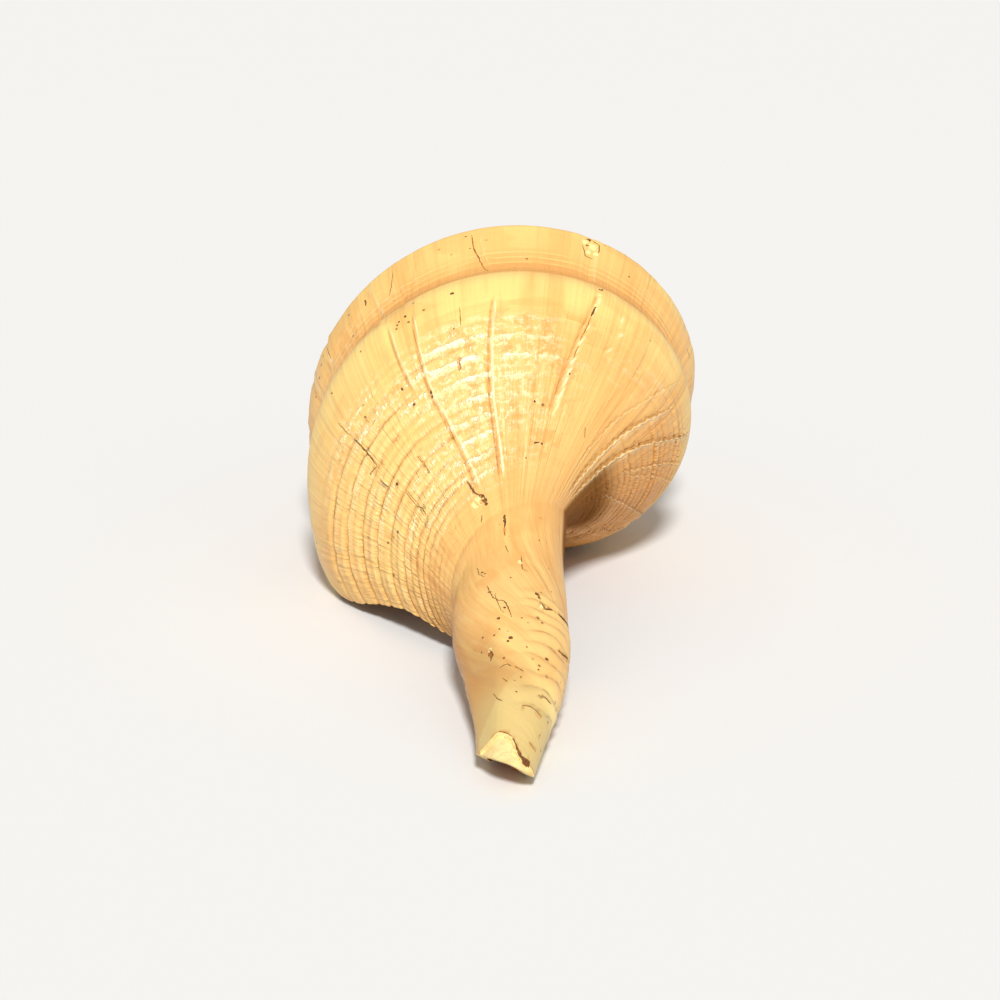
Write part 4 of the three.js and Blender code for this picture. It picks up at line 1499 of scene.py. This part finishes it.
def weatheredApricot():
    material, tree, surface, f = newFinish("weathered apricot shell")
    shared = Outside(tree, f)
    turns, across, solid, rib = shared.turns, shared.across, shared.solid, shared.rib
    onBase, onCanal, scaly = shared.onBase, shared.onCanal, shared.scaly
    along, tint = shared.along, shared.tint
    shared.colour = groundColour(shared)
    growthStreaks(shared)
    worn = paleBeadsAndGlints(shared)
    furrowed = furrowShades(shared)
    columnShade = paintedShadePlaces(shared)
    dark, bright = ridgeLines(tree, f, turns, across, shared.phase)
    # painted shade in front of each ridge and painted highlight on its crest
    tint(dark * strengths["ridgeShade"], "furrow")
    tint(bright * strengths["ridgeHighlight"], "fleckAndHighlight")
    shadedEdge = scaleEdges(shared)
    threadLines = channelThreads(shared)
    canalShadeAndSpecks(shared)
    tree.links.new(shared.colour, surface.inputs["Base Color"])

    rough = f.ramp(along(60.0, 0.05, 3.0, 0.6, 7.0), 0.3, 0.7, 0.34, 0.5)
    rough = rough + worn * -0.14 + columnShade * 0.5
    plug(tree, surface.inputs["Roughness"], rough)
    plug(tree, surface.inputs["Specular IOR Level"], f.ramp(columnShade, 0.0, 0.8, 0.45, 0.08))

    # Fine relief: growth lines, the edges of the cords with their beads, the canal's streaks, grain
    threads = f.maths("SINE", (across + along(7.0, 0.02, 2.0) * 9.0) * (2 * math.pi / 2.3))
    threaded = threads * f.ramp(along(6.0, 0.05, 2.0, 0.5, 3.0), 0.45, 0.7)
    threaded = threaded * f.ramp(across, 22.0, 40.0) * onBase
    canalStreaks = along(46.0, 0.012, 3.0, 0.6, 6.0) * onCanal * scaly
    canalStreaks = canalStreaks * f.ramp(across, 262.0, 288.0, 1.0, 0.3)
    addBump(tree, surface, [
        (along(150.0, 0.004, 3.0, 0.6, 1.0) * onBase, 0.0012),
        (along(300.0, 0.05, 2.0, 0.5, 4.0) * f.maths("MAXIMUM", rib, 0.15) * onBase, 0.0011),
        (furrowed * -1.0, 0.0002),
        (worn, 0.0004),
        (threaded, 0.00004),
        (threadLines, 0.00016),
        (bright - dark, 0.0004),
        (shadedEdge * -1.0, 0.0006),
        (canalStreaks, 0.0012),
        (f.noise(solid, 500.0, 3.0, 0.6), 0.00016),
    ])
    return material


def innerGlaze():
    material, tree, surface, f = newFinish("smooth inner layer")
    solid = tree.nodes.new("ShaderNodeTexCoord").outputs["Object"]
    cloud = f.ramp(f.noise(solid, 14.0, 4.0, 0.6), 0.35, 0.7)
    colour = mixColour(tree, cloud, shade("inside"), shade("insideDeep"))
    paler = f.ramp(f.noise(solid, 60.0, 3.0, 0.6), 0.55, 0.75, 0.0, 0.4)
    plug(tree, surface.inputs["Base Color"], mixColour(tree, paler, colour, shade("rimZone")))
    plug(tree, surface.inputs["Roughness"], f.ramp(f.noise(solid, 40.0, 3.0), 0.3, 0.7, 0.22, 0.4))
    addBump(tree, surface, [(f.noise(solid, 45.0, 4.0, 0.6), 0.0012), (f.noise(solid, 600.0, 2.0), 0.0001)])
    return material


# A rough dry finish of two colours in patches: a broken edge, or what lies in a crack
def dryFinish(name, first, second, patches, grain, bump, roughness):
    material, tree, surface, f = newFinish(name)
    solid = tree.nodes.new("ShaderNodeTexCoord").outputs["Object"]
    patchy = f.ramp(f.noise(solid, *patches[:3]), *patches[3:])
    plug(tree, surface.inputs["Base Color"], mixColour(tree, patchy, shade(first), shade(second)))
    surface.inputs["Roughness"].default_value = roughness
    addBump(tree, surface, [(f.noise(solid, *grain), bump)])
    return material


dirt = {
    "patches": [260.0, 3.0, 0.6, 0.4, 0.75],  # noise scale, detail, roughness, start and end
    "grain": [900.0, 3.0, 0.6],
    "bump": 0.0004,
    "roughness": 0.9,
}
chalk = {
    "patches": [220.0, 4.0, 0.65, 0.4, 0.7],
    "grain": [420.0, 4.0, 0.7],
    "bump": 0.0008,
    "roughness": 0.75,
}
finishes = [
    weatheredApricot(),
    innerGlaze(),
    dryFinish("chalky broken edge", "chalk", "chalkShade", **chalk),
    dryFinish("dirt in the cracks", "dirt", "furrow", **dirt),
    dryFinish("worn cracks", "furrow", "streak", **dirt),
]
outsideFinish, insideFinish, brokenFinish, dirtFinish, wornFinish = range(len(finishes))


def useFinish(mesh, index):
    mesh.materials.clear()
    for material in finishes:
        mesh.materials.append(material)
    mesh.polygons.foreach_set("material_index", [index] * len(mesh.polygons))


# Takes the cutters away from a mesh, one after the other
def carve(mesh, cutters):
    body = newObject("carved", mesh)
    tools = []
    for cutter, finish in cutters:
        useFinish(cutter, finish)
        tool = newObject(cutter.name, cutter)
        cut = body.modifiers.new(cutter.name, "BOOLEAN")
        cut.operation = "DIFFERENCE"
        cut.solver = "MANIFOLD"
        cut.object = tool
        tools.append(tool)
    carved = evaluatedMesh(body)
    for item in [body, *tools]:
        bpy.data.objects.remove(item)
    return carved


# Keeps the largest connected piece of a mesh
def keepLargest(mesh):
    work = bmesh.new()
    work.from_mesh(mesh)
    unseen = set(work.verts)
    islands = []
    while unseen:
        island, border = [], [unseen.pop()]
        while border:
            vertex = border.pop()
            island.append(vertex)
            for edge in vertex.link_edges:
                other = edge.other_vert(vertex)
                if other in unseen:
                    unseen.remove(other)
                    border.append(other)
        islands.append(island)
    islands.sort(key=len)
    for island in islands[:-1]:
        bmesh.ops.delete(work, geom=island, context="VERTS")
    openEdges = sum(1 for edge in work.edges if not edge.is_manifold)
    print("loose crumbs removed:", len(islands) - 1, " open edges:", openEdges)
    work.to_mesh(mesh)
    work.free()


# How the shell lies: canal to -Y and back up, on its mouth
rest = {"roll": 1.9, "pitch": 11.88, "place": [9.936, 263.448, 114.125]}
floorBlock = {"thickness": 60, "reach": 600}  # takes the flats off where the shell touches the floor


def layDown(mesh):
    left = math.radians(shell["leftAzimuth"])
    upright = [[-math.cos(left), -math.sin(left), 0], [0, 0, 1], [-math.sin(left), math.cos(left), 0]]
    roll = np.array(Matrix.Rotation(math.radians(rest["roll"]), 3, "Y"))
    pitch = np.array(Matrix.Rotation(math.radians(rest["pitch"]), 3, "X"))
    points = readPoints(mesh) @ (pitch @ roll @ np.array(upright)).T + np.array(rest["place"])
    writePoints(mesh, points)


def readPoints(mesh):
    flat = np.zeros(len(mesh.vertices) * 3)
    mesh.vertices.foreach_get("co", flat)
    return flat.reshape(-1, 3)


def writePoints(mesh, points):
    mesh.vertices.foreach_set("co", np.asarray(points, np.float32).ravel())
    mesh.update()


def floorCutter():
    low, reach = -floorBlock["thickness"], floorBlock["reach"]
    square = [(-reach, -reach), (reach, -reach), (reach, reach), (-reach, reach)]
    corners = [(x, y, z) for z in (low, 0) for x, y in square]
    faces = [[0, 1, 2, 3], [4, 5, 6, 7], [0, 1, 5, 4], [1, 2, 6, 5], [2, 3, 7, 6], [3, 0, 4, 7]]
    return outward("floor cutter", corners, faces)


def makeShell():
    sheet = buildSheet()
    coiled = runTree(sheet, coilTree(finishes[outsideFinish]), reliefSizes)
    useFinish(coiled, outsideFinish)
    print("coiled:", len(coiled.polygons), "faces")
    polygons = [list(polygon.vertices) for polygon in coiled.polygons]
    surface = BVHTree.FromPolygons([vertex.co for vertex in coiled.vertices], polygons)
    crackTubes = runTree(crackLines(surface, "dark"), crackTree(finishes[dirtFinish]), {})
    faintTubes = runTree(crackLines(surface, "faint"), crackTree(finishes[wornFinish]), {})
    pitBlobs = runTree(pitPoints(surface, pits), pitTree(finishes[dirtFinish]), {})
    flakeBlobs = runTree(pitPoints(surface, flakes), pitTree(finishes[brokenFinish]), {})
    cutters = [(hollowMesh(), insideFinish), (grooveMesh(), insideFinish), (brokenEndMesh(), brokenFinish)]
    cutters += [(mesh, brokenFinish) for mesh in chipMeshes()]
    cutters += [(flakeBlobs, brokenFinish), (crackTubes, dirtFinish)]
    cutters += [(faintTubes, wornFinish), (pitBlobs, dirtFinish)]
    carved = carve(coiled, cutters)
    print("carved:", len(carved.polygons), "faces")
    layDown(carved)
    standing = carve(carved, [(floorCutter(), outsideFinish)])
    keepLargest(standing)
    points = readPoints(standing) / 1000
    low, high = (np.array(corner) for corner in cadBox)
    print("beyond the frame, mm:", (np.maximum(low - points.min(0), points.max(0) - high) * 1000).round(2))
    writePoints(standing, np.clip(points, low, high))
    standing.name = "shell"
    standing.shade_smooth()
    standing.set_sharp_from_angle(angle=math.radians(42))
    piece = newObject("shell_outside_and_hollow", standing)
    triangles = sum(len(p.vertices) - 2 for p in standing.polygons)
    print("shell:", triangles, "triangles")
    return piece


piece = makeShell()
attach(piece, "root")
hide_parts("shell")

# Studio: pale floor, soft light, and the camera where the photograph was taken from
studio = {
    "floor": 40.0,
    "floorColour": (0.74, 0.735, 0.725, 1),
    "floorRoughness": 0.9,
    "world": (1.0, 0.985, 0.95, 1),
    "worldStrength": 0.44,
    "cameraPlace": (0.02698, -1.51934, 0.53235),
    "cameraTurn": (72.3967, -0.9476, 1.2801),
    "lens": 116.669,
    "sensor": 36,
}

# The sun stands over the camera's shoulder, where the highlights of the photograph come from
sun = {"from": (0.05, -0.74, 0.66), "strength": 3.8, "angle": 9}


def makeStudio():
    half = studio["floor"] / 2
    mesh = bpy.data.meshes.new("floor")
    corners = [(-half, -half, 0), (half, -half, 0), (half, half, 0), (-half, half, 0)]
    mesh.from_pydata(corners, [], [[0, 1, 2, 3]])
    paint, tree, surface, f = newFinish("pale floor")
    surface.inputs["Base Color"].default_value = studio["floorColour"]
    surface.inputs["Roughness"].default_value = studio["floorRoughness"]
    mesh.materials.append(paint)
    newObject("floor", mesh)

    world = bpy.data.worlds.new("studio")
    world.use_nodes = True
    background = world.node_tree.nodes["Background"]
    background.inputs["Color"].default_value = studio["world"]
    background.inputs["Strength"].default_value = studio["worldStrength"]
    bpy.context.scene.world = world

    lamp = bpy.data.lights.new("sun", "SUN")
    lamp.energy = sun["strength"]
    lamp.angle = math.radians(sun["angle"])
    newObject("sun", lamp).rotation_euler = (-Vector(sun["from"])).to_track_quat("-Z", "Y").to_euler()

    lens = bpy.data.cameras.new("camera")
    lens.lens = studio["lens"]
    lens.sensor_width = studio["sensor"]
    camera = newObject("camera", lens)
    camera.location = studio["cameraPlace"]
    camera.rotation_euler = [math.radians(angle) for angle in studio["cameraTurn"]]
    bpy.context.scene.camera = camera
    bpy.context.scene.view_settings.view_transform = "Standard"


makeStudio()
print("studio ready")
